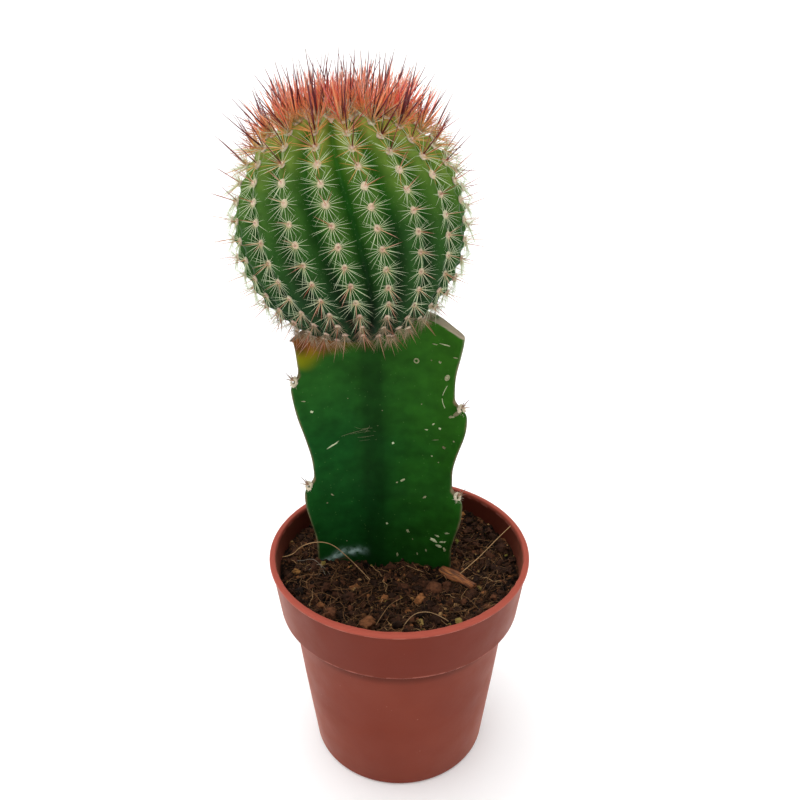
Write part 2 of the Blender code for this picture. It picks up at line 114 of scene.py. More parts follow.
def keepValues(piece, name, measure):      # a number at each vertex, for the materials
    layer = piece.data.attributes.new(name, "FLOAT", "POINT")
    layer.data.foreach_set("value", [measure(vert.co) for vert in piece.data.vertices])


def onCircle(radius, turn, height):
    return Vector((radius * math.cos(turn), radius * math.sin(turn), height))


def wrapGrid(name, across, along, place):
    # a flat grid bent round into a closed skin: i runs round it, j from pole to pole
    deselectAll()
    bpy.ops.mesh.primitive_grid_add(x_subdivisions=across, y_subdivisions=along, size=1)
    piece = nameActive(name)
    for vert in piece.data.vertices:
        i = round((vert.co.x + 0.5) * across)
        j = round((vert.co.y + 0.5) * along)
        vert.co = place(i, j)
    editAll()
    bpy.ops.mesh.remove_doubles(threshold=0.001 * mm)
    bpy.ops.mesh.normals_make_consistent(inside=False)
    leaveEdit()
    return piece


def drawRings(name, sides, rings):
    # a filled circle drawn on from ring to ring, each a (radius, height, sideways), and closed at the end
    radius, height, sideways = rings[0]
    deselectAll()
    bpy.ops.mesh.primitive_circle_add(vertices=sides, radius=radius, fill_type="NGON",
                                      location=(sideways, 0, height))
    piece = nameActive(name)
    editAll()
    for nextRadius, nextHeight, nextSideways in rings[1:]:
        move = (nextSideways - sideways, 0, nextHeight - height)
        bpy.ops.mesh.extrude_region_move(TRANSFORM_OT_translate={"value": move})
        grow = nextRadius / radius
        bpy.ops.transform.resize(value=(grow, grow, 1), center_override=(nextSideways, 0, nextHeight))
        radius, height, sideways = nextRadius, nextHeight, nextSideways
    bpy.ops.mesh.merge(type="CENTER")
    bpy.ops.mesh.select_all(action="SELECT")
    bpy.ops.mesh.normals_make_consistent(inside=False)
    leaveEdit()
    takeUp(piece)
    bpy.ops.object.transform_apply(location=True, rotation=True, scale=True)
    return piece


def uvLayer(piece):
    return piece.data.uv_layers[0] if piece.data.uv_layers else piece.data.uv_layers.new(name="UVMap")


def mapLength(piece):                      # V runs from the root to the tip, U is left for a tint
    layer = uvLayer(piece)
    for loop in piece.data.loops:
        layer.data[loop.index].uv = (0, piece.data.vertices[loop.vertex_index].co.z)
    return piece


def modelSpine(name, sides, thickness, bend):
    # one unit long; bend is how far the tip stands aside
    rings = [(thickness, 0, 0)]
    for height, share in ((0.3, 0.86), (0.62, 0.6), (0.86, 0.3)):
        rings.append((thickness * share, height, bend * height * height))
    rings.append((thickness * 0.12, 1, bend))
    return mapLength(drawRings(name, sides, rings))


def modelPebble(name, seed, rough, cuts=1):
    deselectAll()
    bpy.ops.mesh.primitive_cube_add(size=1.2)
    piece = nameActive(name)
    editAll()
    bpy.ops.mesh.subdivide(number_cuts=cuts, smoothness=1)
    leaveEdit()
    for vert in piece.data.vertices:
        spot = vert.co + Vector((seed, 0, 0))
        lumps = noise.noise(spot * 1.3) + 0.35 * noise.noise(spot * 3.1)
        vert.co = vert.co.normalized() * (1 + rough * lumps)
    return mapLength(piece)


def modelFibre(name, sides, thickness, seed, wander, steps=7):
    # a wandering thread one unit long
    chance = random.Random(seed)
    side, drift = 0.0, 0.0
    rings = [(thickness * 0.7, 0, 0)]
    for k in range(1, steps + 1):
        drift = mix(drift, chance.uniform(-wander, wander), 0.6)
        side += drift / steps
        rings.append((thickness * (1 - 0.5 * (k / steps) ** 3), k / steps, side))
    return mapLength(drawRings(name, sides, rings))


def scatter(name, spots):
    # each spot is a (model, place, tint); every copy has its own mesh, and all are joined
    copies = []
    for model, place, tint in spots:
        mesh = model.data.copy()
        mesh.transform(place)
        layer = mesh.uv_layers[0].data
        flat = [0.0] * (2 * len(layer))
        layer.foreach_get("uv", flat)
        flat[0::2] = [tint] * len(layer)
        layer.foreach_set("uv", flat)
        copy = bpy.data.objects.new(name, mesh)
        bpy.context.scene.collection.objects.link(copy)
        copies.append(copy)
    return joinPieces(name, copies)


def joinPieces(name, pieces):
    takeUp(*pieces)
    bpy.ops.object.join()
    return nameActive(name)


def putAway(*models):
    for model in models:
        bpy.data.objects.remove(model, do_unlink=True)


def finishScatter(name, spots, models, material, slot, node, sharp=None):
    piece = scatter(name, spots)
    putAway(*models)
    finishPiece(piece, material, slot, node, sharp=sharp)


def standOn(spot, xAxis, yAxis, zAxis):
    return Matrix.Translation(spot) @ Matrix((xAxis, yAxis, zAxis)).transposed().to_4x4()


def aim(root, direction, bendTo, length):
    # stands a model one unit long on root, pointing along direction and bending towards bendTo
    zAxis = direction.normalized()
    xAxis = (bendTo - zAxis * bendTo.dot(zAxis)).normalized()
    return standOn(root, xAxis, zAxis.cross(xAxis), zAxis) @ Matrix.Scale(length, 4)


def outwardFrame(spot, outward, upward):
    zAxis = outward.normalized()
    yAxis = (upward - zAxis * upward.dot(zAxis)).normalized()
    return standOn(spot, yAxis.cross(zAxis), yAxis, zAxis)


def tone(red, green, blue):                # a colour in 0-255 steps
    def linear(step):
        share = step / 255
        return share / 12.92 if share <= 0.04045 else ((share + 0.055) / 1.055) ** 2.4
    return (linear(red), linear(green), linear(blue), 1.0)


def setShader(material, values):
    inputs = material.node_tree.nodes["Principled BSDF"].inputs
    for name, value in values.items():
        inputs[name].default_value = value


def newMaterial(name, roughness, gloss=0.5, glossTone=(255, 255, 255)):
    material = bpy.data.materials.new(name)
    material.use_nodes = True
    setShader(material, {"Roughness": roughness, "Specular IOR Level": gloss,
                         "Specular Tint": tone(*glossTone)})
    return material


def wire(material, kind, inputs, output=0, **settings):
    # adds a node, sets or links its inputs, and gives back one output
    tree = material.node_tree
    made = tree.nodes.new("ShaderNode" + kind)
    for key, value in settings.items():
        setattr(made, key, value)
    for key, value in inputs.items():
        if isinstance(value, bpy.types.NodeSocket):
            tree.links.new(value, made.inputs[key])
        else:
            made.inputs[key].default_value = value
    return made.outputs[output]


def coordinates(material):
    return wire(material, "TexCoord", {}, "Object")


def placePart(material, part):
    return wire(material, "SeparateXYZ", {"Vector": coordinates(material)}, part)


def uvPart(material, part):
    uv = wire(material, "TexCoord", {}, "UV")
    return wire(material, "SeparateXYZ", {"Vector": uv}, part)


def kept(material, name):
    return wire(material, "Attribute", {}, "Fac", attribute_name=name)


def cloud(material, scale, detail=3.0, stretch=None):
    where = coordinates(material)
    if stretch:
        where = wire(material, "Mapping", {"Vector": where, "Scale": stretch})
    return wire(material, "TexNoise", {"Vector": where, "Scale": scale, "Detail": detail})


def between(material, value, low, high, toLow=0.0, toHigh=1.0):
    sockets = {"Value": value, "From Min": low, "From Max": high, "To Min": toLow, "To Max": toHigh}
    return wire(material, "MapRange", sockets)


def reckon(material, how, first, second=0.5):
    return wire(material, "Math", {0: first, 1: second}, operation=how)


def distance(material, first, second):
    return reckon(material, "ABSOLUTE", reckon(material, "SUBTRACT", first, second))


def ramp(material, value, stops):
    tree = material.node_tree
    made = tree.nodes.new("ShaderNodeValToRGB")
    tree.links.new(value, made.inputs["Fac"])
    elements = made.color_ramp.elements
    while len(elements) < len(stops):
        elements.new(0.5)
    for element, (position, colour) in zip(elements, stops):
        element.position = position
        element.color = tone(*colour)
    return made.outputs["Color"]


def blendIn(material, amount, first, second, how="MIX"):
    if isinstance(second, tuple):           # a colour in 0-255 steps
        second = tone(*second)
    return wire(material, "Mix", {0: amount, 6: first, 7: second}, 2, data_type="RGBA", blend_type=how)


def blendFrom(material, skin, measure, start, whole, most, colour):
    # the colour comes in as the measure goes from start to whole
    return blendIn(material, between(material, measure, start, whole, 0, most), skin, colour)


def mixNumbers(material, amount, first, second):
    return wire(material, "Mix", {0: amount, 2: first, 3: second}, 0)


def specks(material, scale, outer, inner):
    # round dots, 1 in their middle; outer and inner are how far from it they fade
    dots = wire(material, "TexVoronoi", {"Vector": coordinates(material), "Scale": scale}, "Distance")
    return between(material, dots, outer, inner)


def mottled(material, skin, texture, least, most, spread=0.2):
    shade = between(material, texture, 0.5 - spread, 0.5 + spread, least, most)
    return blendIn(material, 1.0, skin, shade, "MULTIPLY")


def letLightThrough(material, weight, depth):
    setShader(material, {"Subsurface Weight": weight, "Subsurface Radius": (1.0, 0.5, 0.35),
                         "Subsurface Scale": depth})


def paint(material, socket, value):
    shader = material.node_tree.nodes["Principled BSDF"]
    material.node_tree.links.new(value, shader.inputs[socket])


def roughen(material, height, strength, distance):
    bump = wire(material, "Bump", {"Height": height, "Strength": strength, "Distance": distance})
    paint(material, "Normal", bump)


def grainyMaterial(name, roughness, gloss, part, stops, mottle, bump):
    # its colour follows U, the tint, or V, the way along; over it lie a mottle (scale, detail,
    # least, most, spread) and fine bumps (scale, detail, strength, depth in mm)
    material = newMaterial(name, roughness, gloss)
    skin = ramp(material, uvPart(material, part), stops)
    scale, detail, least, most, spread = mottle
    skin = mottled(material, skin, cloud(material, scale, detail), least, most, spread)
    paint(material, "Base Color", skin)
    scale, detail, strength, depth = bump
    roughen(material, cloud(material, scale, detail), strength, depth * mm)
    return material


def spineMaterial(name, kinds):
    # kinds of spine: the tints between which each takes over from the last, and its colours root to tip
    material = newMaterial(name, 0.42, 0.3)
    along, tint = uvPart(material, "Y"), uvPart(material, "X")
    skin = ramp(material, along, kinds[0][2])
    for start, whole, stops in kinds[1:]:
        skin = blendFrom(material, skin, tint, start, whole, 1, ramp(material, along, stops))
    paint(material, "Base Color", skin)
    roughen(material, cloud(material, 3000), 0.1, 0.05 * mm)
    return material


studio = {
    "camera": (0, -168.6 * mm, 181.4 * mm),
    "tilt": 64.1,
    "lens": 36.6,
    "shift": 0.0008,
    "sky": (0.30, 0.70),        # darkest at the front right, brightest at the back left
    "key": {"from": (-0.16, 0.04, 1.0), "spread": 82, "power": 2.5},
    "floorTone": (248, 248, 248),
    "floorGrain": (243, 243, 243),
    "floorGlow": 0.14,
    "floorFlat": 3.0,           # radius of the floor's flat part
    # past it the floor curves up in steps: how much wider each grows and how far it rises
    "floorCurve": ((1.12, 0.04), (1.10, 0.12), (1.07, 0.24), (1.04, 0.45), (1.01, 0.8)),
}


def setStudio():
    deselectAll()
    bpy.ops.object.camera_add(location=studio["camera"], rotation=(math.radians(studio["tilt"]), 0, 0))
    camera = nameActive("camera")
    camera.data.lens = studio["lens"]
    camera.data.shift_x = studio["shift"]
    camera.data.clip_start = 5 * mm
    bpy.context.scene.camera = camera

    key = studio["key"]
    bpy.ops.object.light_add(type="SUN", rotation=Vector(key["from"]).to_track_quat("Z", "Y").to_euler())
    lamp = nameActive("softKey")
    lamp.data.angle = math.radians(key["spread"])
    lamp.data.energy = key["power"]

    world = bpy.data.worlds.new("whiteRoom")
    world.use_nodes = True
    background = world.node_tree.nodes["Background"]
    background.inputs["Color"].default_value = (1, 1, 1, 1)
    heading = wire(world, "TexCoord", {}, "Generated")
    side = wire(world, "VectorMath", {0: heading, 1: (-0.6, 0.5, 0)}, "Value", operation="DOT_PRODUCT")
    world.node_tree.links.new(between(world, side, -0.8, 0.8, *studio["sky"]), background.inputs["Strength"])
    bpy.context.scene.world = world
    bpy.context.scene.view_settings.view_transform = "Standard"

    deselectAll()
    bpy.ops.mesh.primitive_circle_add(vertices=96, radius=studio["floorFlat"], fill_type="NGON",
                                      location=(0, 0, potLow.z - 0.05 * mm))
    floor = nameActive("floor")
    editAll()
    bpy.ops.mesh.region_to_loop()
    for grow, rise in studio["floorCurve"]:
        bpy.ops.mesh.extrude_edges_move(TRANSFORM_OT_translate={"value": (0, 0, rise)})
        bpy.ops.transform.resize(value=(grow, grow, 1), center_override=(0, 0, 0))
    leaveEdit()
    paper = newMaterial("paperFloor", 0.6)
    grain = cloud(paper, 900)
    paint(paper, "Base Color", ramp(paper, grain, [(0, studio["floorTone"]), (1, studio["floorGrain"])]))
    setShader(paper, {"Emission Color": (1, 1, 1, 1), "Emission Strength": studio["floorGlow"]})
    floor.data.materials.append(paper)
    print("studio set")


setStudio()


pot = {
    "foot": 22.9 * mm,          # the wall's radius at the floor
    "wall": 1.0 * mm,
    "floor": 1.2 * mm,
    "band": 15.0 * mm,          # height of the band under the lip
    "bandFoot": 30.4 * mm,
    "step": 2.6 * mm,
    "lip": 1.3 * mm,
    "overhang": 0.3 * mm,       # how far the lip stands out
    "sides": 192,
    "holes": 6,
    "holeRadius": 2.2 * mm,
    "holeCircle": 15.5 * mm,
    "uneven": 0.3 * mm,         # how far the lip's inner edge strays
    "rounding": 0.28 * mm,      # of every edge sharper than 22 degrees
    "roundingFrom": 22,
    "colour": (111, 47, 34),
    "paler": (121, 56, 42),
    "bandTone": (97, 38, 28),
    # colour of the lip's painted highlight
    "lipHighlightTone": (171, 83, 69),
    # colour of the painted highlight on the moulded edges
    "edgeHighlightTone": (176, 104, 90),
    # colour of the painted shade under the band and inside the pot
    "shade": (62, 26, 18),
}
rimRadius = potHigh.x
potHeight = potHigh.z
stepHeight = potHeight - pot["band"]
lipHeight = potHeight - pot["lip"]


def wallRadius(height):
    return mix(pot["foot"], pot["bandFoot"] - pot["step"], height / stepHeight)


def bandRadius(height):
    return mix(pot["bandFoot"], rimRadius - pot["overhang"], (height - stepHeight) / pot["band"])


def terracottaPlastic():
    material = newMaterial("terracottaPlastic", 0.45, 0.05, (255, 220, 205))
    setShader(material, {"Sheen Weight": 0.3, "Sheen Roughness": 0.35, "Sheen Tint": tone(236, 150, 120)})
    broad = cloud(material, 55, 4)
    skin = ramp(material, broad, [(0.3, pot["colour"]), (0.75, pot["paler"])])
    patch = between(material, cloud(material, 130), 0.52, 0.66, 0, 0.35)
    dust = reckon(material, "MULTIPLY", specks(material, 420.0, 0.10, 0.04), patch)
    skin = blendIn(material, dust, skin, (190, 140, 122))
    height = placePart(material, "Z")
    skin = blendFrom(material, skin, height, stepHeight, stepHeight + 0.5 * mm, 0.6, pot["bandTone"])
    # painted highlight: the lip painted lighter
    skin = blendFrom(material, skin, height, lipHeight, lipHeight + 0.7 * mm, 0.85, pot["lipHighlightTone"])
    # patches for the painted edge highlights, where the edges are worn
    wearAndHighlight = between(material, cloud(material, 420, 4), 0.42, 0.6)
    # painted highlights where the two moulded edges catch the light, patchy where they are worn
    edges = (lipHeight + 0.25 * mm, 0.4 * mm, 0.75), (stepHeight + 0.55 * mm, 0.45 * mm, 0.5)
    for level, reach, most in edges:
        away = distance(material, height, level)
        edge = reckon(material, "MULTIPLY", between(material, away, reach, 0.4 * reach, 0, most), wearAndHighlight)
        skin = blendIn(material, edge, skin, pot["edgeHighlightTone"])
    # painted shadow on the wall just under the band's overhang
    underBandShadow = distance(material, height, stepHeight - 2.3 * mm)
    skin = blendFrom(material, skin, underBandShadow, 2.6 * mm, 0.9 * mm, 0.55, pot["shade"])
    # painted shade on the pot's inner wall
    skin = blendIn(material, kept(material, "inside"), skin, pot["shade"])
    paint(material, "Base Color", skin)
    paint(material, "Roughness", between(material, cloud(material, 160, 5), 0.3, 0.7, 0.36, 0.50))
    roughen(material, cloud(material, 700, 4), 0.10, 0.2 * mm)
    return material


def innerShadeAt(point):                       # painted shade on the wall's inner face, well below the lip, less of it higher up
    outside = bandRadius(point.z) if point.z > stepHeight else wallRadius(point.z)
    if math.hypot(point.x, point.y) > outside - 0.6 * pot["wall"] or point.z < 2 * pot["floor"]:
        return 0.0
    underLip = 1 - smoothStep(potHeight - 1.5 * mm, potHeight - 0.4 * mm, point.z)
    return mix(0.75, 0.5, smoothStep(50 * mm, 58 * mm, point.z)) * underLip


def buildPot():
    top = potHeight
    rings = [
        (4 * mm, 0), (pot["foot"] - 0.7 * mm, 0), (pot["foot"], 0.6 * mm),
        (wallRadius(stepHeight * 0.5), stepHeight * 0.5),
        (wallRadius(stepHeight) - 0.2 * mm, stepHeight - 0.4 * mm),
        (pot["bandFoot"] - 0.5 * mm, stepHeight), (pot["bandFoot"], stepHeight + 0.5 * mm),
        (bandRadius(lipHeight), lipHeight), (rimRadius, lipHeight + 0.3 * mm),
        (rimRadius, top - 0.3 * mm), (rimRadius - 0.3 * mm, top),
        (bandRadius(lipHeight) - pot["wall"] + 0.25 * mm, top),
        (bandRadius(lipHeight) - pot["wall"], top - 0.3 * mm),
        (bandRadius(lipHeight) - pot["wall"] - 0.1 * mm, top - 1.6 * mm),
        (pot["bandFoot"] - pot["wall"], stepHeight + 1.0 * mm),
        (wallRadius(stepHeight) - pot["wall"], stepHeight - 1.2 * mm),
        (pot["foot"] - pot["wall"], pot["floor"] + 0.6 * mm),
        (pot["foot"] - pot["wall"] - 0.6 * mm, pot["floor"]), (4 * mm, pot["floor"]),
    ]
    piece = drawRings("potShell", pot["sides"], [(radius, height, 0) for radius, height in rings])
    applyModifier(piece, "BEVEL", width=pot["rounding"], segments=3, limit_method="ANGLE",
                  angle_limit=math.radians(pot["roundingFrom"]))
    for vert in piece.data.vertices:
        radius = math.hypot(vert.co.x, vert.co.y)
        if vert.co.z > lipHeight and radius < rimRadius - 0.7 * mm:
            stray = noise.noise(vert.co * 260) + 0.6 * noise.noise(vert.co * 700)
            pull = 1 - pot["uneven"] * max(stray, 0) / radius
            vert.co.x *= pull
            vert.co.y *= pull
    for k in range(pot["holes"]):
        turn = math.tau * (k + 0.5) / pot["holes"]
        deselectAll()
        bpy.ops.mesh.primitive_cylinder_add(vertices=32, radius=pot["holeRadius"], depth=6 * mm,
                                            location=onCircle(pot["holeCircle"], turn, 0))
        drill = nameActive("drill")
        applyModifier(piece, "BOOLEAN", operation="DIFFERENCE", object=drill, solver="EXACT")
        putAway(drill)
    # the inner wall's painted shade, kept for the material
    keepValues(piece, "inside", innerShadeAt)
    finishPiece(piece, terracottaPlastic(), "pot_plastic", "pot", sharp=35)


buildPot()


soil = {
    "level": 51.0 * mm,
    "bank": 1.7 * mm,           # how far the mix is banked up round the wall
    "relief": 0.9 * mm,
    "mound": {"centre": (-19 * mm, 3 * mm), "height": 2.0 * mm, "spread": 9 * mm},
    "crumble": 1.9 * mm,        # depth of the crumbly surface
    "gap": 0.35 * mm,           # under the bark chip
    "lumps": 110,
    "clods": 380,
    "grains": 2020,
    "fibres": 2100,
    "around": 320,              # faces round the surface, and from its edge to its middle
    "across": 76,
    "dark": (10, 6, 4),
    "middle": (48, 29, 18),
    "light": (122, 80, 50),
}
chip = {
    "length": 10.5 * mm,
    "width": 3.2 * mm,
    "thick": 1.3 * mm,
    "centre": (14.6 * mm, -4.2 * mm),
    "turn": -42,
    "colour": (132, 74, 33),
    "dark": (52, 28, 14),
    "light": (174, 114, 58),
}
# larger lumps: where they lie, how big they are and their tint, in mm
stones = (
    (4.9, -11.7, 1.5, 0.86), (8.4, -7.5, 2.1, 0.62), (2.1, -14.9, 1.1, 0.84), (-25.9, -3.4, 1.1, 0.88),
    (-11.0, -7.1, 1.15, 0.84), (-7.4, -20.5, 1.9, 0.74), (-16.7, -19.5, 1.9, 0.6), (1.8, -7.9, 1.9, 0.5),
    (-0.3, -19.5, 1.8, 0.3), (-22.6, -7.4, 1.3, 0.6), (5.7, -21.5, 1.3, 0.8), (11.9, -6.9, 1.2, 0.5),
    (13.9, -20.5, 0.9, 0.95), (-8.7, -13.3, 1.3, 0.48), (21.0, -9.0, 0.95, 0.86), (15.7, -13.3, 1.0, 0.55),
    (23.5, 4.5, 1.2, 0.5), (20.4, 10.6, 1.4, 0.4), (-27.0, 4.0, 1.2, 0.45), (-19.0, -14.0, 1.0, 0.78),
)
soilEdge = bandRadius(soil["level"]) - pot["wall"] - 0.1 * mm


def soilHeight(x, y):
    wave = math.sin(x * 310 + 1.1) * math.cos(y * 270 + 0.4) + 0.6 * math.sin(x * 620 - y * 540 + 2.0)
    mound = soil["mound"]
    away = math.dist((x, y), mound["centre"]) / mound["spread"]
    rise = mound["height"] * math.exp(-away * away)
    clear = smoothStep(0.55 * chip["length"], 1.1 * chip["length"], math.dist((x, y), chip["centre"]))
    bank = soil["bank"] * smoothStep(soilEdge - 9 * mm, soilEdge, math.hypot(x, y))
    return soil["level"] + bank + (soil["relief"] * 0.6 * wave + rise) * clear


def crumble(x, y):                          # the fine relief on top of the broad one
    spot = Vector((x, y, 0))
    cells = noise.voronoi(spot * 900)[0][0]
    return soil["crumble"] * (0.6 * noise.fractal(spot * 520, 0.9, 2.1, 4) + 0.55 * (0.45 - cells))


def peat():
    material = newMaterial("peat", 0.95, 0.1)
    fine = cloud(material, 1100, 5)
    broad = cloud(material, 170, 3)
    shade = mixNumbers(material, 0.4, fine, broad)
    stops = [(0.43, soil["dark"]), (0.54, soil["middle"]), (0.68, soil["light"])]
    paint(material, "Base Color", ramp(material, shade, stops))
    roughen(material, cloud(material, 2600, 5), 0.6, 0.4 * mm)
    return material


def granules():
    stops = [(0.0, (28, 18, 12)), (0.45, (70, 42, 27)), (0.7, (104, 64, 42)), (0.86, (152, 98, 58)),
             (0.93, (118, 108, 48)), (1.0, (180, 136, 92))]
    return grainyMaterial("soilGrains", 0.9, 0.15, "X", stops,
                          mottle=(1300, 5, 0.5, 1.25, 0.18), bump=(3200, 3, 0.5, 0.2))


def strawFibre():
    stops = [(0.0, (40, 25, 15)), (0.5, (80, 52, 31)), (0.8, (128, 92, 58)), (0.92, (184, 146, 102)),
             (1.0, (140, 132, 118))]
    return grainyMaterial("strawFibre", 0.7, 0.2, "X", stops,
                          mottle=(700, 3, 0.75, 1.2, 0.2), bump=(4000, 3, 0.2, 0.05))


def buildSoil():
    bottom = pot["floor"] + 0.3 * mm
    skirt = [
        (0, bottom), (pot["foot"] - pot["wall"] - 1.2 * mm, bottom),
        (wallRadius(3 * mm) - pot["wall"] - 0.4 * mm, 3 * mm),
        (wallRadius(stepHeight - 2 * mm) - pot["wall"] - 0.4 * mm, stepHeight - 2 * mm),
        (bandRadius(stepHeight + 2 * mm) - pot["wall"] - 0.3 * mm, stepHeight + 2 * mm),
    ]
    around, across = soil["around"], soil["across"]

    def skin(i, j):
        turn = math.tau * (i % around) / around
        if j < len(skirt):
            radius, height = skirt[j]
            return onCircle(radius, turn, height)
        radius = soilEdge * (1 - (j - len(skirt)) / (across - 1))
        spot = onCircle(radius, turn, 0)
        spot.z = soilHeight(spot.x, spot.y) + crumble(spot.x, spot.y)
        return spot

    piece = wrapGrid("soilBed", around, len(skirt) + across - 1, skin)
    finishPiece(piece, peat(), "soil", "soil", sharp=50)


def onSoil(x, y, fromWall, fromStem):
    clear = not insideStem(Vector((x, y, soil["level"])), fromStem)
    return clear and math.hypot(x, y) <= soilEdge - fromWall


def somewhereOnSoil(chance, room):
    while True:
        radius = (soilEdge - room) * math.sqrt(chance.random())
        turn = chance.uniform(0, math.tau)
        x, y = radius * math.cos(turn), radius * math.sin(turn)
        if onSoil(x, y, 0, 0.3 * mm):
            return x, y


def buildGrains():
    chance = random.Random(21)
    models = [modelPebble("pebble", 3 * k, 0.6 if k < 3 else 0.95, cuts=3) for k in range(6)]
    models += [modelPebble("grain", 3 * k, 0.45) for k in range(3)]
    spots = []

    def lay(x, y, size, tint, kind):
        stretch = Matrix.Diagonal((1, chance.uniform(0.6, 1), chance.uniform(0.45, 0.85), 1))
        spin = Matrix.Rotation(chance.uniform(0, math.tau), 4, "Z")
        spin = spin @ Matrix.Rotation(chance.uniform(-0.6, 0.6), 4, "X")
        root = Vector((x, y, soilHeight(x, y) + crumble(x, y) + 0.2 * size))
        model = models[3 * kind + chance.randrange(3)]
        spots.append((model, Matrix.Translation(root) @ spin @ stretch @ Matrix.Scale(size, 4), tint))

    for x, y, size, tint in stones:
        lay(x * mm, y * mm, size * mm, tint, 0 if tint > 0.6 else 1)
    for k in range(soil["lumps"]):
        size = chance.uniform(0.6, 1.2) * mm
        lay(*somewhereOnSoil(chance, size), size, chance.random() ** 1.6, 0)
    for k in range(soil["clods"]):
        size = chance.uniform(0.5, 1.3) * mm
        lay(*somewhereOnSoil(chance, size), size, chance.uniform(0.1, 0.5), 1)
    for k in range(soil["grains"]):
        size = chance.uniform(0.16, 0.6) ** 1.2 * mm
        lay(*somewhereOnSoil(chance, size), size, chance.random() ** 1.9, 2)
    finishScatter("soilGrains", spots, models, granules(), "soil", "soil", sharp=50)


def buildFibres():
    chance = random.Random(8)
    models = [modelFibre("thread", 3, 0.018, 40 + k, 1.3) for k in range(7)]
    spots = []
    for k in range(soil["fibres"]):
        x, y = somewhereOnSoil(chance, 2.5 * mm)
        length = chance.uniform(1.8, 3.6) * mm if k % 3 else chance.uniform(4, 7.5) * mm
        turn = chance.uniform(0, math.tau)
        x -= 0.5 * length * math.cos(turn)
        y -= 0.5 * length * math.sin(turn)
        endX, endY = x + length * math.cos(turn), y + length * math.sin(turn)
        if not (onSoil(x, y, 0.6 * mm, 0.4 * mm) and onSoil(endX, endY, 0.5 * mm, 0.4 * mm)):
            continue
        lift = chance.uniform(0.1, 0.9) * mm
        start = Vector((x, y, soilHeight(x, y) + lift))
        end = Vector((endX, endY, soilHeight(endX, endY) + chance.uniform(0.1, 1.1) * mm))
        bendTo = Vector((chance.uniform(-1, 1), chance.uniform(-1, 1), chance.uniform(0.0, 0.8)))
        model = models[chance.randrange(7)]
        spots.append((model, aim(start, end - start, bendTo, length), 0.9 * chance.random() ** 1.1))
    finishScatter("soilFibres", spots, models, strawFibre(), "soil", "soil")


def layRoot(name, points, thick, tint):
    # a single root or straw along a smooth curve through given points
    curve = bpy.data.curves.new(name, "CURVE")
    curve.dimensions = "3D"
    curve.bevel_depth = thick / 2
    curve.bevel_resolution = 1
    curve.use_fill_caps = True
    curve.resolution_u = 6
    spline = curve.splines.new("NURBS")
    spline.points.add(len(points) - 1)
    for point, (x, y, z) in zip(spline.points, points):
        point.co = (x * mm, y * mm, z * mm, 1)
    spline.use_endpoint_u = True
    spline.order_u = 3
    made = bpy.data.objects.new(name, curve)
    bpy.context.scene.collection.objects.link(made)
    takeUp(made)
    bpy.ops.object.convert(target="MESH")
    piece = bpy.context.active_object
    for item in uvLayer(piece).data:
        item.uv = (tint, 0.5)
    return piece


roots = (                                   # thickness, tint, and points along each, in mm
    (0.2, 0.92, ((14.9, -3.8, 52.5), (18.6, -0.4, 53.4), (22.3, 3.2, 54.8), (26.2, 7.0, 56.6),
        (30.2, 10.8, 58.0))),
    (0.21, 0.9, ((-29.9, 0.8, 54.6), (-27.4, 0.4, 55.2), (-25.3, 1.6, 57.2), (-22.0, 0.4, 59.4),
        (-18.7, -0.8, 60.4), (-16.1, -1.3, 59.5), (-13.7, -1.6, 57.1), (-10.8, -2.0, 54.0),
        (-7.4, -4.6, 51.6))),
    (0.2, 0.93, ((1.0, -22.4, 52.4), (2.6, -20.4, 53.8), (5.8, -19.6, 54.4), (9.2, -20.2, 53.8),
        (11.4, -20.8, 52.4))),
    (0.13, 0.85, ((-5.4, -21.8, 52.2), (-3.8, -19.0, 53.2), (-2.0, -15.8, 53.6), (0.4, -13.0, 52.6))),
    (0.1, 0.74, ((-16.5, -9.0, 52.1), (-13.0, -10.4, 53.2), (-9.5, -9.6, 53.3), (-7.0, -7.6, 52.4),
        (-4.5, -8.0, 51.8))),
    (0.1, 0.72, ((19.0, -12.0, 52.2), (21.6, -8.4, 53.3), (22.4, -4.4, 53.3), (25.0, -1.0, 52.2))),
    (0.1, 0.8, ((23.2, 3.4, 52.0), (25.4, 0.2, 53.0), (24.6, -3.2, 52.5))),
    (0.11, 0.78, ((-25.0, -7.0, 52.0), (-22.4, -9.6, 53.0), (-19.6, -12.8, 53.0), (-17.4, -16.4, 52.0))),
    (0.11, 0.8, ((12.6, -10.4, 52.0), (15.0, -12.0, 53.2), (17.6, -15.0, 53.2), (19.4, -17.4, 52.0))),
    (0.1, 0.76, ((-14.4, -13.6, 52.0), (-12.6, -16.4, 53.0), (-13.6, -19.6, 52.6), (-11.4, -22.0, 52.0))),
    (0.1, 0.74, ((-20.6, 4.0, 53.8), (-24.2, 6.4, 54.4), (-26.4, 9.6, 53.6), (-25.6, 12.6, 52.4))),
    (0.11, 0.8, ((-22.8, -12.6, 52.0), (-20.2, -11.2, 53.2), (-17.2, -11.8, 53.0), (-15.0, -13.0, 52.0))),
    (0.1, 0.76, ((16.8, 8.6, 52.2), (20.4, 10.6, 53.4), (23.6, 9.4, 53.2), (26.2, 10.8, 52.2))),
)


whiteRoots = (                              # fine pale ones where the stem enters the soil
    (0.1, 1.0, ((-26.2, 0.2, 53.8), (-24.4, -0.6, 54.5), (-22.0, -0.2, 54.9), (-19.8, -1.6, 54.0),
        (-18.6, -4.0, 52.6))),
    (0.08, 0.98, ((-22.8, -3.0, 53.4), (-20.8, -1.4, 54.4), (-19.0, -2.2, 53.8), (-17.4, -3.8, 52.6))),
    (0.07, 0.98, ((-20.6, -5.4, 52.4), (-19.4, -3.4, 53.4), (-19.8, -1.2, 54.4))),
)


def buildRoots():
    pieces = [layRoot("root", points, thick * mm, tint) for thick, tint, points in roots + whiteRoots]
    finishPiece(joinPieces("longRoots", pieces), strawFibre(), "soil", "soil")


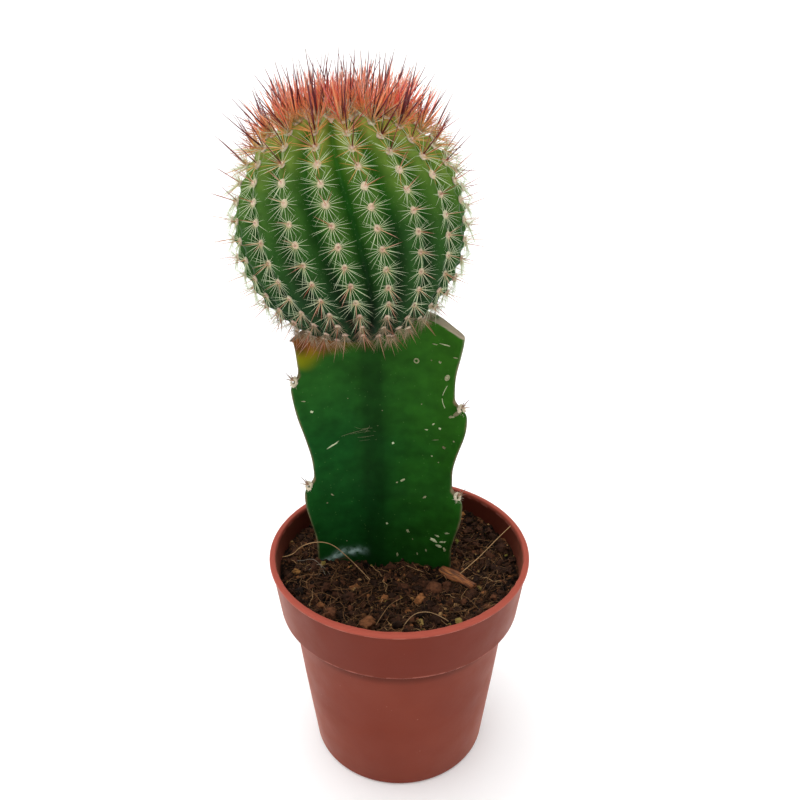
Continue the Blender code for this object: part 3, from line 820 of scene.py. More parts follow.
def pineBark():
    material = newMaterial("pineBark", 0.8)
    turn = (0, 0, math.radians(-chip["turn"]))
    turned = wire(material, "Mapping", {"Vector": coordinates(material), "Rotation": turn})
    along = wire(material, "Mapping", {"Vector": turned, "Scale": (0.16, 1, 1)})
    grain = wire(material, "TexNoise", {"Vector": along, "Scale": 1900.0, "Detail": 5.0})
    stops = [(0.36, chip["dark"]), (0.54, chip["colour"]), (0.72, chip["light"])]
    paint(material, "Base Color", ramp(material, grain, stops))
    roughen(material, grain, 0.7, 0.3 * mm)
    return material


def buildChip():
    deselectAll()
    bpy.ops.mesh.primitive_cube_add(size=1)
    piece = nameActive("barkChip")
    editAll()
    bpy.ops.mesh.subdivide(number_cuts=23)
    leaveEdit()
    for vert in piece.data.vertices:
        share = vert.co.x
        ridge = noise.noise(Vector((share * 1.6, vert.co.y * 7, vert.co.z * 3)))
        fray = noise.noise(Vector((vert.co.y * 9, vert.co.z * 6, 4)))
        x = share * (1 + 0.10 * fray)
        narrowing = 1 - 0.35 * (2 * vert.co.z) ** 2 * abs(vert.co.y)
        y = vert.co.y * (1.05 - 1.5 * (share + 0.08) ** 2 - 0.15 * math.sin(9 * share)) * narrowing
        z = vert.co.z * (1 - 0.5 * (2 * vert.co.y) ** 2 * 0.5)
        if vert.co.z > 0:
            z += 0.22 * ridge + 0.10 * math.sin(11 * share + 1) - 0.5 * share * share
        vert.co = Vector((x * chip["length"], y * chip["width"], z * chip["thick"]))
    piece.location = (*chip["centre"], soil["level"] + soil["gap"] + chip["thick"] / 2)
    piece.rotation_euler = (0, 0, math.radians(chip["turn"]))
    finishPiece(piece, pineBark(), "bark", "bark_chip", sharp=40)


stem = {
    "axis": Vector((-4.5 * mm, 9.5 * mm)),
    "straightBelow": 57 * mm,   # below this the margins are straight
    "taperBelow": 49 * mm,      # and below this, in the soil, they run in
    "taper": 0.32,
    "marginHalf": 1.2 * mm,     # half the thickness of a wing at its margin
    "rootHalf": 7.6 * mm,       # and at its root
    "thickening": 2.0,          # how quickly it thickens between the two
    "bevelFrom": 14 * mm,       # the top cut slopes from this far out
    "bevelSlope": 0.55,
    "bevelTilt": 0.2,
    "flareFrom": 84 * mm,       # the wings reach further out between these heights
    "flareTo": 116 * mm,
    "rowStep": 1.3 * mm,
    "cutRows": 5,
    "wholeBelow": 8.5 * mm,     # the wings are whole up to this far below the top
    "areoleHairs": 60,
    "thorns": ((10, 50, 2.6), (52, 62, 3.2), (88, 68, 2.7), (30, 30, 2.0)),    # turn, lean, length in mm
    # painted light: the colours of the stem's left and right sides
    "bluish": (20, 72, 26),
    "yellowish": (31, 77, 14),
    "low": (12, 50, 15),
    "high": (50, 94, 22),
    # colour of the painted shade in the valleys
    "dark": (5, 28, 7),
    "corky": (104, 80, 58),
    "cutTone": (160, 148, 126),
}
# each wing's areoles: their height, how far the margin swells below them and how far down, in mm
wings = (
    {"turn": -27, "reach": 19.6, "flare": 0.0,
     "areoles": ((119, 2.0, 16.4), (97.4, 3.3, 18.5), (73.4, 2.9, 20))},
    {"turn": 90, "reach": 15.8, "flare": 2.4,
     "areoles": ((113, 2.8, 17.5), (90, 3.2, 16.7), (68, 2.4, 16.7))},
    {"turn": 207, "reach": 18.4, "flare": 3.4,
     "areoles": ((132, 2.0, 21), (104.5, 2.6, 26), (76.2, 2.6, 19))},
)
stemTop = stemHigh.z
stemBottom = stemLow.z
stains = {                                  # all on the left wing
    "wing": wings[2],
    "brownHeight": 111.2 * mm,  # the skin is brown above this
    "yellowCentre": Vector((-22.0 * mm, -0.5 * mm, 110.6 * mm)),
    "yellowReach": 6.4 * mm,
    "bloomHeights": (52.6 * mm, 55.2 * mm),     # at its outer and inner end
    "bloomHalf": 1.1 * mm,
}


def swelling(below, length):
    return smoothStep(-1.6 * mm, 1.9 * mm, below) * (1 - smoothStep(3.5 * mm, length, below))


def wingReach(wing, height):
    sunk = max(stem["taperBelow"] - height, 0) / (stem["taperBelow"] - stemBottom)
    height = max(height, stem["straightBelow"])
    flare = min(max((height - stem["flareFrom"]) / (stem["flareTo"] - stem["flareFrom"]), 0), 1)
    reach = wing["reach"] * mm + wing["flare"] * mm * flare
    for level, swell, length in wing["areoles"]:
        reach += swell * mm * swelling(level * mm - height, length * mm)
    return reach * (1 - stem["taper"] * sunk)


def halfThickness(share):
    return mix(stem["marginHalf"], stem["rootHalf"], max(1 - share, 0) ** stem["thickening"])


def wingAxes(wing):
    turn = math.radians(wing["turn"])
    ahead = Vector((math.cos(turn), math.sin(turn)))
    return ahead, Vector((-ahead.y, ahead.x))


def stemSection(height):
    # points round the stem at a height, one wing after another
    sides = ((0.40, 1), (0.55, 1), (0.70, 1), (0.82, 1), (0.91, 1), (0.965, 0.86))
    points = []
    for index, wing in enumerate(wings):
        ahead, aside = wingAxes(wing)
        reach = wingReach(wing, height)
        walk = [(share, -part) for share, part in sides] + [(1.006, 0)]
        walk += [(share, part) for share, part in reversed(sides)]
        for share, part in walk:
            points.append(ahead * share * reach + aside * halfThickness(share) * part)
        following = wings[(index + 1) % len(wings)]
        spread = math.radians((following["turn"] - wing["turn"]) % 360) / 2
        valley = math.radians(wing["turn"]) + spread
        depth = 0.93 * stem["rootHalf"] / math.sin(spread) ** 0.7
        for offset, rise in ((-0.16, 1.05), (0, 1.0), (0.16, 1.05)):
            angle = valley + offset * spread
            points.append(Vector((math.cos(angle), math.sin(angle))) * depth * rise)
    return [point + stem["axis"] for point in points]


def cutHeight(x, y):
    offset = Vector((x, y)) - stem["axis"]
    ahead = wingAxes(nearestWing(x, y))[0]
    behind = offset.y - offset.dot(ahead) * ahead.y
    tilt = stem["bevelTilt"] * smoothStep(stem["bevelFrom"], stem["bevelFrom"] + 3 * mm, offset.length)
    return stemTop - stem["bevelSlope"] * max(offset.length - stem["bevelFrom"], 0) - tilt * behind


def nearestWing(x, y):
    offset = Vector((x, y)) - stem["axis"]
    return max(wings, key=lambda wing: offset.dot(wingAxes(wing)[0]))


def wingShare(point):                       # 0 at the stem's axis, 1 on a wing's margin
    wing = nearestWing(point.x, point.y)
    offset = Vector((point.x, point.y)) - stem["axis"]
    return offset.dot(wingAxes(wing)[0]) / wingReach(wing, point.z)


def insideStem(point, room):
    if point.z > stemTop + room:
        return False
    offset = Vector((point.x, point.y)) - stem["axis"]
    for wing in wings:
        ahead, aside = wingAxes(wing)
        along = offset.dot(ahead)
        reach = wingReach(wing, point.z)
        thick = halfThickness(max(along, 0) / reach)
        if -room < along < reach + room and abs(offset.dot(aside)) < thick + room:
            return True
    return False


def stemSkin():
    material = newMaterial("stemSkin", 0.42, 0.06, (190, 255, 190))
    # painted light: bluish green on the stem's left, yellowish green on its right, from how the light falls
    # on the two sides; random patches shift it
    sideways = placePart(material, "X")
    across = between(material, sideways, -14 * mm, 12 * mm)
    across = reckon(material, "ADD", across, between(material, cloud(material, 60), 0.3, 0.7, -0.22, 0.22))
    skin = ramp(material, across, [(0.1, stem["bluish"]), (0.9, stem["yellowish"])])
    height = placePart(material, "Z")
    skin = blendFrom(material, skin, height, 100 * mm, 52 * mm, 0.62, stem["low"])
    skin = blendFrom(material, skin, height, 88 * mm, 116 * mm, 0.5, stem["high"])
    # painted shade in the valleys between the wings
    skin = blendIn(material, kept(material, "valley"), skin, stem["dark"])
    for scale, stretch, least, most in ((420, None, 0.84, 1.14), (130, (1, 1, 2.0), 0.80, 1.20)):
        skin = mottled(material, skin, cloud(material, scale, 5, stretch), least, most)
    dots = reckon(material, "MULTIPLY", specks(material, 700.0, 0.12, 0.05), 0.3)
    skin = blendIn(material, dots, skin, (96, 130, 70))
    skin = blendIn(material, kept(material, "yellowStain"), skin, (112, 112, 8))
    rust = ramp(material, cloud(material, 330, 4), [(0.34, (74, 42, 18)), (0.52, (116, 66, 24)),
                                                    (0.68, (144, 90, 28))])
    skin = blendIn(material, kept(material, "brownStain"), skin, rust)
    powder = between(material, cloud(material, 700, 5), 0.34, 0.64)
    haze = reckon(material, "MULTIPLY", kept(material, "chalk"), powder)
    skin = blendIn(material, haze, skin, (176, 206, 200))
    cork = ramp(material, cloud(material, 1500, 4), [(0.3, stem["corky"]), (0.7, (150, 130, 104))])
    onCut = reckon(material, "MULTIPLY", between(material, height, 105 * mm, 110 * mm),
                   between(material, sideways, -16 * mm, -10 * mm))
    cork = blendIn(material, onCut, cork, stem["cutTone"])
    skin = blendIn(material, kept(material, "cork"), skin, cork)
    paint(material, "Base Color", skin)
    gloss = between(material, cloud(material, 260, 4), 0.3, 0.7, 0.36, 0.52)
    paint(material, "Roughness", mixNumbers(material, kept(material, "cork"), gloss, 0.85))
    roughen(material, cloud(material, 900, 4), 0.12, 0.25 * mm)
    return material


def corkAt(point):
    share = wingShare(point)
    margin = smoothStep(0.976, 0.996, share) * (0.6 + 0.5 * noise.noise(point * 420))
    onCut = smoothStep(-0.32 * mm, -0.12 * mm, point.z - cutHeight(point.x, point.y))
    return min(max(margin, onCut, 0), 1)


def valleyShadeAt(point):
    # painted shade: a narrow dark line a little left of the axis in front, and a soft dark fold at the back
    if point.y > stem["axis"].y:
        return 0.5 * (1 - smoothStep(0.2, 0.6, wingShare(point)))
    aside = point.x - stem["axis"].x + 1.5 * mm + 0.5 * mm * noise.noise(point * 90)
    line = math.exp(-(aside / (2.4 * mm)) ** 2) + 0.5 * math.exp(-(aside / (5.5 * mm)) ** 2)
    return 0.62 * min(line, 1) * smoothStep(126 * mm, 108 * mm, point.z)


def onStainedWing(point):
    return nearestWing(point.x, point.y) is stains["wing"]


def brownStainAt(point):
    if wingShare(point) < 0.2 or not onStainedWing(point):
        return 0.0
    edge = stains["brownHeight"] + 0.8 * mm * noise.noise(point * 240)
    edge += 1.2 * mm * smoothStep(-18 * mm, -8 * mm, point.x)
    inward = smoothStep(-17 * mm, -4 * mm, point.x + 2 * mm * noise.noise(point * 190))
    return smoothStep(edge - 2.0 * mm, edge + 2.0 * mm, point.z) * (1 - 0.85 * inward)


def yellowStainAt(point):
    if not onStainedWing(point):
        return 0.0
    away = point - stains["yellowCentre"]
    away.z *= 1.4
    ragged = away.length + 1.0 * mm * noise.noise(point * 250)
    return 0.95 * (1 - smoothStep(0.25 * stains["yellowReach"], stains["yellowReach"], ragged))


def chalkAt(point):
    # a pale bloom on its front just above the soil
    if point.y > 4 * mm or not onStainedWing(point):
        return 0.0
    level = mix(*stains["bloomHeights"], smoothStep(-20 * mm, -14 * mm, point.x))
    level += 0.6 * mm * noise.noise(point * 260)
    ends = smoothStep(-23 * mm, -19 * mm, point.x) * (1 - smoothStep(-12 * mm, -7.0 * mm, point.x))
    return 0.8 * ends * math.exp(-((point.z - level) / stains["bloomHalf"]) ** 2)


def buildStem():
    plainTop = stemTop - stem["wholeBelow"]
    plainRows = round((plainTop - stemBottom) / stem["rowStep"])
    cutRows = stem["cutRows"]
    around = len(stemSection(plainTop))

    def skin(i, j):
        i = i % around
        if j <= plainRows:
            height = mix(stemBottom, plainTop, j / plainRows)
            return Vector((*stemSection(height)[i], height))
        edge = stemSection(stemTop)[i]
        rim = cutHeight(*edge)
        k = j - plainRows
        if k <= cutRows:
            share = (k / cutRows) ** 0.8
            height = mix(plainTop, rim, share)
            return Vector((*stemSection(height)[i], height))
        if k == cutRows + 1:
            return Vector((*edge, rim - 0.01 * mm))
        inward = edge - stem["axis"]
        bevel = stem["bevelFrom"] / inward.length
        share = (0.985, min(0.93, 1.12 * bevel), min(0.9, 0.96 * bevel), 0.4, 0.0)[k - cutRows - 2]
        spot = stem["axis"] + inward * share
        return Vector((*spot, cutHeight(*spot)))

    piece = wrapGrid("stemBody", around, plainRows + cutRows + 6, skin)
    closeEnds(piece)
    applyModifier(piece, "SUBSURF", levels=2, render_levels=2)
    for vert in piece.data.vertices:
        swell = 0.16 * mm * noise.noise(vert.co * 130)
        vert.co += Vector((vert.co.x - stem["axis"].x, vert.co.y - stem["axis"].y, 0)).normalized() * swell
    for name, measure in (("cork", corkAt), ("valley", valleyShadeAt), ("brownStain", brownStainAt),
                          ("yellowStain", yellowStainAt), ("chalk", chalkAt)):
        keepValues(piece, name, measure)
    finishPiece(piece, stemSkin(), "stem_skin", "rootstock", sharp=50)
    return piece


def closeEnds(piece):
    takeUp(piece)
    bpy.ops.object.mode_set(mode="EDIT")
    bpy.ops.mesh.select_all(action="DESELECT")
    bpy.ops.mesh.select_mode(type="EDGE")
    bpy.ops.mesh.select_non_manifold()
    bpy.ops.mesh.fill_holes(sides=0)
    bpy.ops.mesh.select_all(action="SELECT")
    bpy.ops.mesh.normals_make_consistent(inside=False)
    bpy.ops.mesh.select_mode(type="VERT")
    leaveEdit()


def wool():
    stops = [(0.0, (196, 186, 160)), (0.35, (226, 210, 182)), (0.6, (222, 190, 168)), (1.0, (150, 104, 80))]
    material = grainyMaterial("areoleWool", 0.95, 0.5, "X", stops,
                              mottle=(2600, 4, 0.78, 1.12, 0.2), bump=(5000, 4, 0.8, 0.2))
    setShader(material, {"Sheen Weight": 0.3})
    return material


def stemAreoles():
    # frames on the wings' margins at each areole
    for wing in wings:
        ahead = wingAxes(wing)[0]
        forward = Vector((ahead.x, ahead.y, 0))
        facing = Vector((0, -0.8, 0)) if ahead.y < 0 else Vector((0.5, 0, 0))
        for areole in wing["areoles"]:
            height = areole[0] * mm
            if height > stemTop - 6 * mm:
                continue
            spot = Vector((*stem["axis"], height)) + forward * (wingReach(wing, height) + 0.1 * mm)
            yield outwardFrame(spot, forward + up * 0.5 + facing, up)


def buildStemAreoles():
    chance = random.Random(17)
    pads = [modelPebble("pad", 50 + k, 0.35, cuts=2) for k in range(3)]
    hair = modelSpine("hair", 3, 0.035, 0.25)
    thorn = modelSpine("thorn", 5, 0.055, 0.06)
    woolSpots, thornSpots = [], []
    for frameHere in stemAreoles():
        for k in range(9):                   # a worn ring of old wool
            turn = math.tau * k / 9
            shift = Matrix.Translation((0.72 * mm * math.cos(turn), 0.85 * mm * math.sin(turn) - 0.2 * mm, 0))
            size = chance.uniform(0.30, 0.52) * mm
            squeeze = Matrix.Diagonal((size, size * chance.uniform(0.8, 1.2), size * 0.8, 1))
            woolSpots.append((pads[k % 3], frameHere @ shift @ squeeze, chance.uniform(0, 0.25)))
        for k in range(stem["areoleHairs"]):
            turn = chance.uniform(0, math.tau)
            out = leaning(chance.uniform(0.5, 1.4), turn)
            root = Vector((0.7 * math.sin(turn), 0.8 * math.cos(turn) - 0.2, 0.15)) * mm
            stray = aim(root, out, nearlyDown, chance.uniform(0.5, 1.2) * mm)
            woolSpots.append((hair, frameHere @ stray, chance.uniform(0, 0.4)))
        sideways = 1 if frameHere.translation.x > stem["axis"].x else -1
        for turn, lean, length in stem["thorns"]:
            turn = math.radians(turn + chance.uniform(-8, 8)) * sideways
            stands = aim(Vector((0, 0, 0)), leaning(math.radians(lean), turn), nearlyDown, length * mm)
            thornSpots.append((thorn, frameHere @ stands, chance.random()))
    finishScatter("stemWool", woolSpots, [hair, *pads], wool(), "stem_skin", "rootstock")
    finishScatter("stemThorns", thornSpots, [thorn], brownThorn(), "stem_skin", "rootstock")


def brownThorn():
    stops = [(0.0, (196, 168, 138)), (0.5, (128, 92, 70)), (1.0, (62, 40, 34))]
    return grainyMaterial("brownThorn", 0.5, 0.5, "Y", stops,
                          mottle=(1500, 3, 0.75, 1.2, 0.2), bump=(4000, 3, 0.2, 0.05))


# marks on the front of the stem: how far right, how high, half length, half width, turn, tint
scabs = (
    (9.2, 108.6, 0.35, 0.35, 0, 0.3), (7.3, 108.9, 0.18, 0.16, 0, 0.7),
    (8.0, 92.8, 0.42, 0.2, 50, 0.2), (9.5, 91.8, 0.34, 0.3, 10, 0.1),
    (6.4, 91.1, 0.4, 0.16, -5, 0.2), (12.8, 89.0, 0.25, 0.22, 0, 0.4),
    (10.6, 86.8, 0.45, 0.4, 0, 0.8), (7.8, 84.0, 0.22, 0.18, 0, 0.2),
    (-1.5, 87.2, 0.34, 0.3, 0, 0.0), (-20.3, 96.5, 0.38, 0.34, 0, 0.0),
    (6.2, 72.2, 0.5, 0.26, 35, 0.35), (-3.1, 64.3, 0.32, 0.28, 0, 0.2),
    (2.1, 61.5, 0.62, 0.36, -50, 0.4), (9.5, 61.2, 0.6, 0.28, -20, 0.2),
    (11.9, 62.6, 0.7, 0.24, 15, 0.25), (-16.5, 73.0, 0.5, 0.18, -40, 0.5),
    (-17.8, 70.9, 0.24, 0.18, 0, 0.6), (-0.5, 54.3, 0.3, 0.62, 0, 0.35),
    (-0.6, 75.9, 0.3, 0.2, 20, 0.3), (0.7, 76.4, 0.75, 0.3, 30, 0.25),
    (8.7, 59.6, 1.2, 0.5, -24, 0.12), (10.9, 59.6, 1.0, 0.3, 20, 0.2),
    (10.0, 58.2, 0.8, 0.45, -10, 0.15), (11.4, 57.4, 0.4, 0.7, 10, 0.3),
    (8.0, 112.9, 0.7, 0.14, -5, 0.3), (10.3, 113.1, 1.3, 0.16, -8, 0.2),
    (12.6, 110.2, 0.6, 0.14, -10, 0.4), (-15.9, 86.7, 1.95, 0.2, 31, 0.05),
    (5.2, 97.6, 0.16, 0.14, 0, 0.5), (13.3, 96.4, 1.0, 0.5, 35, 0.7),
    (12.2, 95.4, 0.9, 0.35, 28, 0.45), (-22.0, 99.6, 0.5, 0.14, -15, 0.3),
    (4.6, 54.6, 0.2, 0.4, 5, 0.4), (6.8, 56.0, 0.22, 0.42, 0, 0.3),
    (10.9, 105.0, 0.42, 0.6, -25, 0.25), (3.4, 59.0, 0.16, 0.16, 0, 0.5),
    (-4.0, 96.0, 0.14, 0.12, 0, 0.6), (9.4, 82.5, 0.14, 0.14, 0, 0.5),
    (-12.0, 99.0, 0.12, 0.12, 0, 0.4), (-13.4, 58.4, 0.2, 0.14, 0, 0.5),
    (8.6, 88.6, 0.9, 0.08, 12, 0.5),
)
# ring-shaped ones: how far right, how high, turn, radius, thickness, width by length
scabRings = ((3.9, 108.4, -10, 0.52, 0.16, 1.0), (10.9, 105.0, -25, 0.62, 0.24, 0.66))
scars = (                                   # thickness, and the way across the skin
    (0.16, ((11.0, 103.0), (10.3, 101.6), (10.0, 100.4))),
    (0.16, ((9.9, 99.6), (10.0, 98.4), (10.6, 97.3))),
    (0.07, ((-13.8, 88.9), (-11.2, 89.7), (-8.4, 90.6), (-5.0, 92.0))),
    (0.04, ((-11.6, 89.3), (-9.0, 89.9), (-7.2, 90.4))),
    (0.04, ((-10.0, 88.4), (-7.6, 88.7), (-6.0, 89.4))),
    (0.05, ((-9.0, 90.8), (-7.6, 91.2), (-6.4, 91.3))),
    (0.04, ((-8.2, 89.8), (-7.4, 91.0), (-7.0, 91.9))),
    (0.035, ((-9.6, 87.4), (-7.0, 88.2), (-5.4, 88.2))),
    (0.035, ((-10.6, 91.3), (-8.0, 90.2), (-5.6, 90.4))),
)


def onStem(body, x, z):                      # the stem's skin straight in from the front
    found, spot, normal, index = body.ray_cast(Vector((x * mm, -0.1, z * mm)), Vector((0, 1, 0)))
    return (spot, normal) if found else (None, None)


def buildStemMarks(body):
    models = [modelPebble("scab", 70 + k, 0.85, cuts=3) for k in range(3)]
    spots = []
    for k, (x, z, long, wide, turn, tint) in enumerate(scabs):
        spot, normal = onStem(body, x, z)
        if spot is None:
            continue
        lie = outwardFrame(spot, normal, up) @ Matrix.Rotation(math.radians(turn), 4, "Z")
        flat = Matrix.Diagonal((long * 0.85 * mm, wide * 0.8 * mm, 0.07 * mm, 1))
        spots.append((models[k % 3], lie @ flat, tint))
    for x, z, turn, radius, thick, narrow in scabRings:
        spot, normal = onStem(body, x, z)
        deselectAll()
        bpy.ops.mesh.primitive_torus_add(major_segments=18, minor_segments=6, major_radius=radius * mm,
                                         minor_radius=thick * mm)
        ring = nameActive("ring")
        for vert in ring.data.vertices:
            vert.co.z *= 0.6
            vert.co.x *= narrow
        models.append(ring)
        lie = outwardFrame(spot, normal, up) @ Matrix.Rotation(math.radians(turn), 4, "Z")
        spots.append((ring, lie, 0.35))
    piece = scatter("stemScabs", spots)
    putAway(*models)
    threads = []
    for thick, line in scars:
        path = [onStem(body, x, z) for x, z in line]
        points = [tuple((spot + normal * 0.02 * mm) / mm) for spot, normal in path if spot]
        threads.append(layRoot("scar", points, thick * mm, 0.12 if thick > 0.1 else 0.55))
    finishPiece(joinPieces("stemScabs", [piece, *threads]), scabCork(), "stem_skin", "rootstock")


def scabCork():
    stops = [(0.0, (204, 214, 172)), (0.3, (150, 150, 112)), (0.8, (104, 94, 66)), (1.0, (84, 112, 66))]
    return grainyMaterial("scabCork", 0.85, 0.5, "X", stops,
                          mottle=(2200, 3, 0.6, 1.2, 0.2), bump=(4000, 3, 0.4, 0.1))


ball = {
    "centre": Vector((-10.4 * mm, 6.0 * mm, stemTop + 19.5 * mm)),
    "radius": 24.9 * mm,
    "leanLeft": 3,
    "leanBack": 16,
    "ribs": 19,
    "ribDepth": 2.6 * mm,
    "ribPhase": -132.5,
    "ribTwist": 0.228,          # how far the ribs turn from top to foot
    "rowPitch": 9.0,            # degrees between the areoles on a rib
    "rowPhase": 6.92,
    "rowSpirals": 4,            # spirals that the areoles make round the ball
    "firstRow": 31.0,           # degrees from the axis
    "lastRow": 161.0,
    "perRib": 14,               # faces across a rib, and from the top to the foot
    "along": 150,
    "areoleHairs": 20,
    "padSize": (0.92, 0.62),    # half the width of an areole's wool near the crown and at the foot, mm
    "padTint": (0.30, 0.52),
    "budTint": (0.58, 0.94),    # of the browner lump in its middle
    "tubercle": 0.30 * mm,      # how far a rib swells at each areole
    "radials": 20,
    "radialThick": 0.0122,      # half the thickness at the root, as a share of the length
    "radialBends": (0.02, 0.06, 0.12),
    "radialLength": 4.1 * mm,
    "radialRise": (20, 42),     # degrees from the skin, further down and near the crown
    "radialFan": (160, 176),    # degrees that they spread to either side of straight down
    "centralThick": 0.0160,
    "centralBends": (0.02, 0.05, -0.04),
    "crownEdge": 28,            # degrees from the axis
    "crownRecess": 1.9 * mm,
}
crown = {
    "areoles": 56,
    "areoleHairs": 16,
    "around": 120,              # faces round the wool, and from its middle to its underside
    "along": 40,
    "padSize": (0.95, 1.25),    # smallest and largest half width of a tuft of wool, mm
    "red": (5.6, 8.4),          # shortest and longest young spine, mm
    "redThick": 0.0185,
    "redBends": (0.02, 0.07, -0.05),
    "long": (8.6, 10.9),        # and of the dark ones among them
    "longThick": 0.016,
    "longBends": (0.02, 0.05, -0.04),
    "perTuft": 13,
    "taller": 0.45,             # how much longer the spines are at the edge than in the middle
    "edgeTufts": 36,            # round the edge of the wool
    "brushTo": 52,              # young spines thin out towards this angle from the axis
    "leanBy": math.radians(44),
    "sway": 0.07,               # how far all the spines lean to the right
}


def ballFrame():
    left, back = math.radians(ball["leanLeft"]), math.radians(ball["leanBack"])
    axis = Vector((-math.sin(left), math.sin(back), 0))
    axis.z = math.sqrt(1 - axis.length_squared)
    xAxis = Vector((0, 1, 0)).cross(axis).normalized()
    return standOn(ball["centre"], xAxis, axis.cross(xAxis), axis)


ballPlace = ballFrame()


def ribTurn(rib, polar):
    turn = math.radians(ball["ribPhase"]) + math.tau * rib / ball["ribs"]
    return turn + ball["ribTwist"] * (polar - math.pi / 2)


def crestAt(polar, turn):                   # 1 on a rib's crest, 0 in the valley
    return ((1 + math.cos(ball["ribs"] * (turn - ribTurn(0, polar)))) / 2) ** 0.7


def firstPolar(rib):
    pitch = math.radians(ball["rowPitch"])
    polar = math.radians(ball["rowPhase"]) + pitch * ball["rowSpirals"] * rib / ball["ribs"]
    return polar - pitch * math.floor((polar - math.radians(ball["firstRow"])) / pitch)


def ballRadius(polar, turn):
    crest = crestAt(polar, turn)
    depth = ball["ribDepth"] * fade(8, 50, polar)
    depth *= 1 - 0.5 * fade(120, 165, polar)
    edge = math.radians(ball["crownEdge"])
    recess = ball["crownRecess"] * (1 - smoothStep(edge - 0.005, edge + 0.06, polar))
    rib = round((turn - ribTurn(0, polar)) * ball["ribs"] / math.tau)
    row = (polar - firstPolar(rib)) / math.radians(ball["rowPitch"])
    swell = math.cos(math.tau * row) * crest * crest * fade(33, 44, polar)
    return ball["radius"] - depth * (1 - crest) - recess + ball["tubercle"] * (swell - 0.4)


def polarPoint(radius, polar, turn):
    return onCircle(radius * math.sin(polar), turn, radius * math.cos(polar))


def ballSkin():
    material = newMaterial("ballSkin", 0.5, 0.08)
    polar = kept(material, "polar")
    wander = between(material, cloud(material, 90, 3), 0.3, 0.7, -0.05, 0.05)
    down = reckon(material, "ADD", polar, wander)
    # painted light and shade on the crests: pale yellow-green where lit at the top, dark green towards the
    # shaded foot
    crest = ramp(material, down, [(0.18, (150, 162, 72)), (0.30, (112, 138, 52)), (0.42, (70, 106, 36)),
                                  (0.56, (42, 82, 28)), (0.75, (25, 58, 26)), (0.92, (18, 42, 22))])
    # the valleys in painted shade, with saturated green near the top where light shines through
    valley = ramp(material, down, [(0.18, (70, 110, 20)), (0.32, (40, 90, 11)), (0.46, (20, 68, 9)),
                                   (0.60, (9, 44, 8)), (0.80, (4, 24, 7)), (1.0, (4, 16, 6))])
    skin = blendFrom(material, valley, kept(material, "crest"), 0.08, 0.8, 1, crest)
    skin = mottled(material, skin, cloud(material, 520, 5), 0.86, 1.12)
    fleck = reckon(material, "MULTIPLY", specks(material, 1500.0, 0.25, 0.1), 0.07)
    skin = blendIn(material, fleck, skin, (178, 200, 140))
    paint(material, "Base Color", skin)
    paint(material, "Roughness", between(material, cloud(material, 300), 0.3, 0.7, 0.42, 0.6))
    roughen(material, cloud(material, 1300, 4), 0.16, 0.25 * mm)
    return material


def buildBall():
    around, along = ball["ribs"] * ball["perRib"], ball["along"]

    def skin(i, j):
        polar = math.pi * j / along
        turn = ribTurn(0, polar) + math.tau * (i % around) / around
        return polarPoint(ballRadius(polar, turn), polar, turn)

    def polarShare(co):
        return math.acos(max(min(co.z / co.length, 1), -1)) / math.pi

    def crestShare(co):
        return crestAt(polarShare(co) * math.pi, math.atan2(co.y, co.x))

    piece = wrapGrid("ballBody", around, along, skin)
    keepValues(piece, "polar", polarShare)
    keepValues(piece, "crest", crestShare)
    piece.matrix_world = ballPlace
    finishPiece(piece, ballSkin(), "ball_skin", "scion")


def alongRibs(last):
    # the places of the areoles, rib by rib, down to an angle from the axis
    for rib in range(ball["ribs"]):
        polar = firstPolar(rib)
        while polar < math.radians(last):
            yield polar, ribTurn(rib, polar)
            polar += math.radians(ball["rowPitch"])


def ballAreoles():
    # each areole's polar angle and its frame, with +Z out of the ball and +Y up to the crown
    for polar, turn in alongRibs(ball["lastRow"]):
        outward = polarPoint(1, polar, turn)
        upward = polarPoint(1, polar - 0.01, turn) - outward
        spot = polarPoint(ballRadius(polar, turn), polar, turn)
        local = ballPlace @ outwardFrame(spot, outward, upward)
        if not insideStem(local.translation, 0.3 * mm):
            yield polar, local


def leaning(lean, turn):                    # a direction that leans from +Z towards a turn, 0 being +Y
    return Vector((math.sin(lean) * math.sin(turn), math.sin(lean) * math.cos(turn), math.cos(lean)))


def squashed(size, wide, deep, thick, proud):
    # a unit lump brought to its size, and lifted by a share of it
    lifted = Matrix.Translation((0, 0, proud * size))
    return lifted @ Matrix.Diagonal((size * wide, size * deep, size * thick, 1))


def frizz(chance, count, size, spreads, leans, lengths):
    # stray hairs round a lump of wool
    for k in range(count):
        side = chance.uniform(0, math.tau)
        root = Vector((math.sin(side), math.cos(side), 0)) * size * chance.uniform(*spreads)
        yield aim(root, leaning(chance.uniform(*leans), side), nearlyDown, chance.uniform(*lengths) * mm)


def buildBallWool():
    chance = random.Random(31)
    pads = [modelPebble("pad", 20 + k, 0.3, cuts=2) for k in range(3)]
    buds = [modelPebble("bud", 20 + k, 0.3) for k in range(3)]
    hair = modelSpine("hair", 3, 0.04, 0.3)
    spots = []
    for polar, local in ballAreoles():
        low = fade(50, 120, polar)
        size = mix(*ball["padSize"], low) * chance.uniform(0.9, 1.1) * mm
        tint = mix(*ball["padTint"], low) + chance.uniform(-0.12, 0.16)
        spots.append((pads[chance.randrange(3)], local @ squashed(size, 0.9, 1, 0.42, 0.1), tint))
        middle = local @ squashed(size, 0.5, 0.5, 0.32, 0.32)
        budTint = mix(*ball["budTint"], low)
        spots.append((buds[chance.randrange(3)], middle, budTint + chance.uniform(-0.06, 0.06)))
        for stray in frizz(chance, ball["areoleHairs"], size, (0.4, 0.95), (0.4, 1.35), (0.35, 0.75)):
            spots.append((hair, local @ stray, tint - 0.1))
    finishScatter("ballWool", spots, [hair, *pads, *buds], wool(), "ball_skin", "scion")


